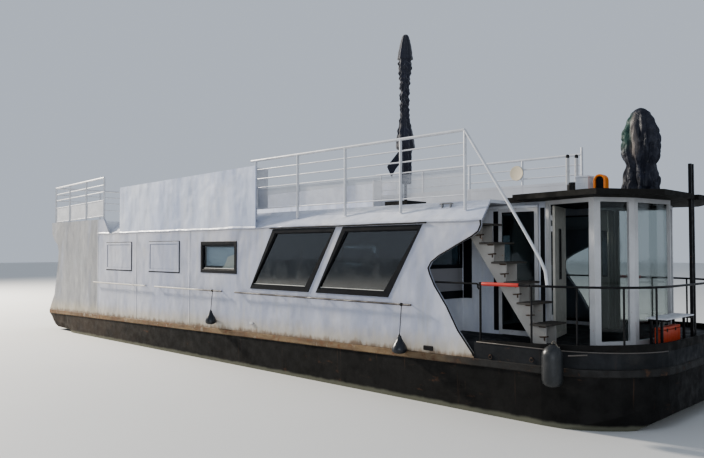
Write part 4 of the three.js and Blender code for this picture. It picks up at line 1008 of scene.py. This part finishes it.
# columns: how far out and how high the strip's upper edge is, then its lower edge
FLAP = (
    (0.075, 4.56, 0.075, 4.27), (0.13, 4.465, 0.125, 4.235), (0.19, 4.385, 0.165, 4.18),
    (0.25, 4.31, 0.198, 4.125), (0.3, 4.255, 0.222, 4.07), (0.314, 4.215, 0.232, 4.03),
)
flap_out = Vector((cos(FLAP_TURN), sin(FLAP_TURN), 0))
flap_side = Vector((-sin(FLAP_TURN), cos(FLAP_TURN), 0))
verts, faces = [], []
for i, (r0, z0, r1, z1) in enumerate(FLAP):
    for k in range(FLAP_POINTS):
        u = k / (FLAP_POINTS - 1)
        wave = 0.013 * sin(5.5 * u + 1.3 * i)
        spot = flap_out * (r0 + (r1 - r0) * u) + flap_side * wave
        verts.append(PARASOL + spot + Vector((0, 0, z0 + (z1 - z0) * u)))
        if i and k:
            a = i * FLAP_POINTS + k
            faces.append((a, a - 1, a - FLAP_POINTS - 1, a - FLAP_POINTS))
flap = piece("parasol_flap", verts, faces, "cloth_dark", "canopy_cloth", smooth=True)
flap.modifiers.new("cloth", "SOLIDIFY").thickness = 0.004

COVER = at(7.8, 0, 0)
COVER_FOOT, COVER_HIGH = 3.5945, 1.326
COVER_TURNS, COVER_LEVELS = 128, 90
WAIST, WAIST_SOFT = 0.46, 0.05    # the height where the cover is tied, and how sharply it draws in
# columns: height, half length, half width
COVERED = (
    (0, 0.318, 0.28), (0.12, 0.3, 0.262), (0.25, 0.292, 0.25), (0.44, 0.258, 0.215), (0.65, 0.312, 0.248),
    (0.85, 0.304, 0.238), (0.95, 0.288, 0.226), (1.13, 0.218, 0.172), (1.24, 0.15, 0.122), (1.3, 0.085, 0.07),
    (1.326, 0.02, 0.016),
)


def cover_ring(h):
    rx, ry = eased(COVERED, h)
    room = min(1, (1.34 - h) * 2.2)
    loose = room * (1 if h < 0.44 else 0.6)
    tuck = exp(-((h - WAIST) / WAIST_SOFT) ** 2)
    ring = []
    for a in angles(COVER_TURNS):
        hang = cos(9 * a + 1.6 * sin(2.4 * h + a) + 2 * h)
        cross = sin(5.5 * h + 4 * a) * sin(2 * a + 3 * h)
        fine = sin(21 * a - 9 * h + 2 * sin(7 * h + 2 * a))
        f = 1 - room * (0.1 - 0.1 * hang) - 0.04 * room * (1 - cross) - 0.03 * (1 - fine) * room - 0.05 * tuck
        # sharp valleys that cross the folds, deeper in the lower half
        rising = abs(sin(4 * a - 8 * h + 2.5 * sin(5 * h + 3 * a)))
        falling = abs(sin(2.5 * a + 11 * h + 1.8 * sin(4 * a - 6 * h)))
        f -= loose * (0.09 * (1 - rising) ** 2 + 0.07 * (1 - falling) ** 2)
        lift = 0.008 * hang * room * (h > 0.05)
        ring.append(Vector((rx * f * cos(a), ry * f * sin(a), COVER_FOOT + h + lift)))
    return ring


rings = [cover_ring(COVER_HIGH * i / COVER_LEVELS) for i in range(COVER_LEVELS + 1)]
cover = tube_skin("covered_item_cloth", COVER, rings, "tarp", "covered_item", 0.003)


# Fenders.

# columns: share of the radius, share of the height
PEAR = ((0.012, 0), (0.35, 0.012), (0.7, 0.05), (0.93, 0.12), (1, 0.22), (0.97, 0.33), (0.86, 0.45),
        (0.7, 0.58), (0.52, 0.7), (0.38, 0.8), (0.3, 0.88), (0.26, 0.94), (0.25, 1), (0.1, 1))
# columns: node, x, foot z, head z, radius
PEARS = (("fender_aft", -0.15, 1.27, 1.55, 0.11), ("fender_middle", 4.98, 1.21, 1.48, 0.12))
RAIL_Y, RAIL_Z, RAIL_RADIUS = -(WALL_Y + 0.075), 1.96, 0.0163    # the grab rail that carries them
HITCH = 0.021
# columns: radius, z
BOW_FENDER = ((0.01, 1.061), (0.05, 1.064), (0.09, 1.078), (0.12, 1.105), (0.134, 1.15), (0.135, 1.22),
              (0.135, 1.4), (0.134, 1.46), (0.122, 1.51), (0.095, 1.55), (0.06, 1.575), (0.04, 1.588),
              (0.035, 1.598), (0.01, 1.599))
# columns: y, z from the toe rail over to the fender's eye
BOW_LANYARD = ((-2.083, 1.545), (-2.122, 1.549), (-2.155, 1.585), (-2.2, 1.63), (-2.24, 1.636),
               (-2.265, 1.618), (-2.265, 1.6008))
BOW_FENDER_X = 7.56


def lanyard(name, node, points, radius, look):
    """A rope on an even path. points: from the boat to the fender."""
    path = []
    for a, b in zip(points, points[1:]):
        count = max(1, round((b - a).length / 0.012))
        path += [a.lerp(b, i / count) for i in range(count)]
    path.append(points[-1])
    obj = Build().tube(path, radius, 10).make(name, look, "rope_pale", replaces=node, smooth=True)


for node, x, z0, z1, r in PEARS:
    y = -(WALL_Y + 0.003 + r)
    Build().turned(at(x, y, 0), [(r * u, z0 + (z1 - z0) * v) for u, v in PEAR], 40).make(
        f"{node}_body", "fender_rubber", replaces=node, smooth=True)
    ends = [at(x, RAIL_Y, RAIL_Z - RAIL_RADIUS), at(x, y, z1 + 0.002)]
    lanyard(f"{node}_rope", f"{node}_lanyard", ends, 0.006, "rope_dark")
    # three turns round the rail, and a loop at the fender's eye
    knots, loop = Build(), circle(16, closed=True)
    for x_turn in (x - 0.012 + k * 0.01 for k in range(3)):
        knots.tube([at(x_turn, RAIL_Y + HITCH * c, RAIL_Z + HITCH * s) for c, s in loop], 0.005, 8)
    knots.tube([at(x + 0.016 * c, y, z1 + 0.004 + 0.016 * s) for c, s in loop], 0.006, 8)
    knots.make(f"{node}_hitch", "rope_dark", "rope_pale", smooth=True)

Build().turned(at(BOW_FENDER_X, -2.265, 0), BOW_FENDER, 48).make(
    "fender_bow_body", "fender_grey", "fender_rubber", replaces="fender_bow", smooth=True)
lanyard("fender_bow_rope", "fender_bow_lanyard", [at(BOW_FENDER_X, y, z) for y, z in BOW_LANYARD], 0.008,
        "rope_pale")


# Floor and studio light.

FLOOR_HALF = 120
mesh = bpy.data.meshes.new("floor")
corners = [(x, y, 0) for x, y in rect(-FLOOR_HALF, FLOOR_HALF, -FLOOR_HALF, FLOOR_HALF)]
mesh.from_pydata(corners, [], [(0, 1, 2, 3)])
floor = linked("floor", mesh)
floor.location = (0, 0, WATER_Z)
pale = Shader("floor_pale", (0.62, 0.62, 0.61), 0.8)
pale.coat(pale.noise(0.3, 3), (0.66, 0.66, 0.65))
pale.finish()
dress(floor, "floor_pale")

world = bpy.data.worlds.new("studio")
scene.world = world
world.use_nodes = True
sky = world.node_tree.nodes["Background"]
sky.inputs["Color"].default_value = (0.8, 0.88, 1, 1)
sky.inputs["Strength"].default_value = 0.55


def area_light(name, location, target, size, power, colour):
    data = bpy.data.lights.new(name, "AREA")
    data.shape = "RECTANGLE"
    data.size, data.size_y = size
    data.energy = power
    data.color = colour
    obj = linked(name, data)
    obj.location = location
    obj.rotation_mode = "QUATERNION"
    obj.rotation_quaternion = (Vector(target) - Vector(location)).to_track_quat("-Z", "Y")


area_light("key", (-33, -9.5, 20), (0, 0, 2), (3.6, 3.6), 24000, (1, 0.93, 0.82))
area_light("fill", (19, -19, 6), (5, 0, 2.5), (12, 5), 900, (0.88, 0.93, 1))
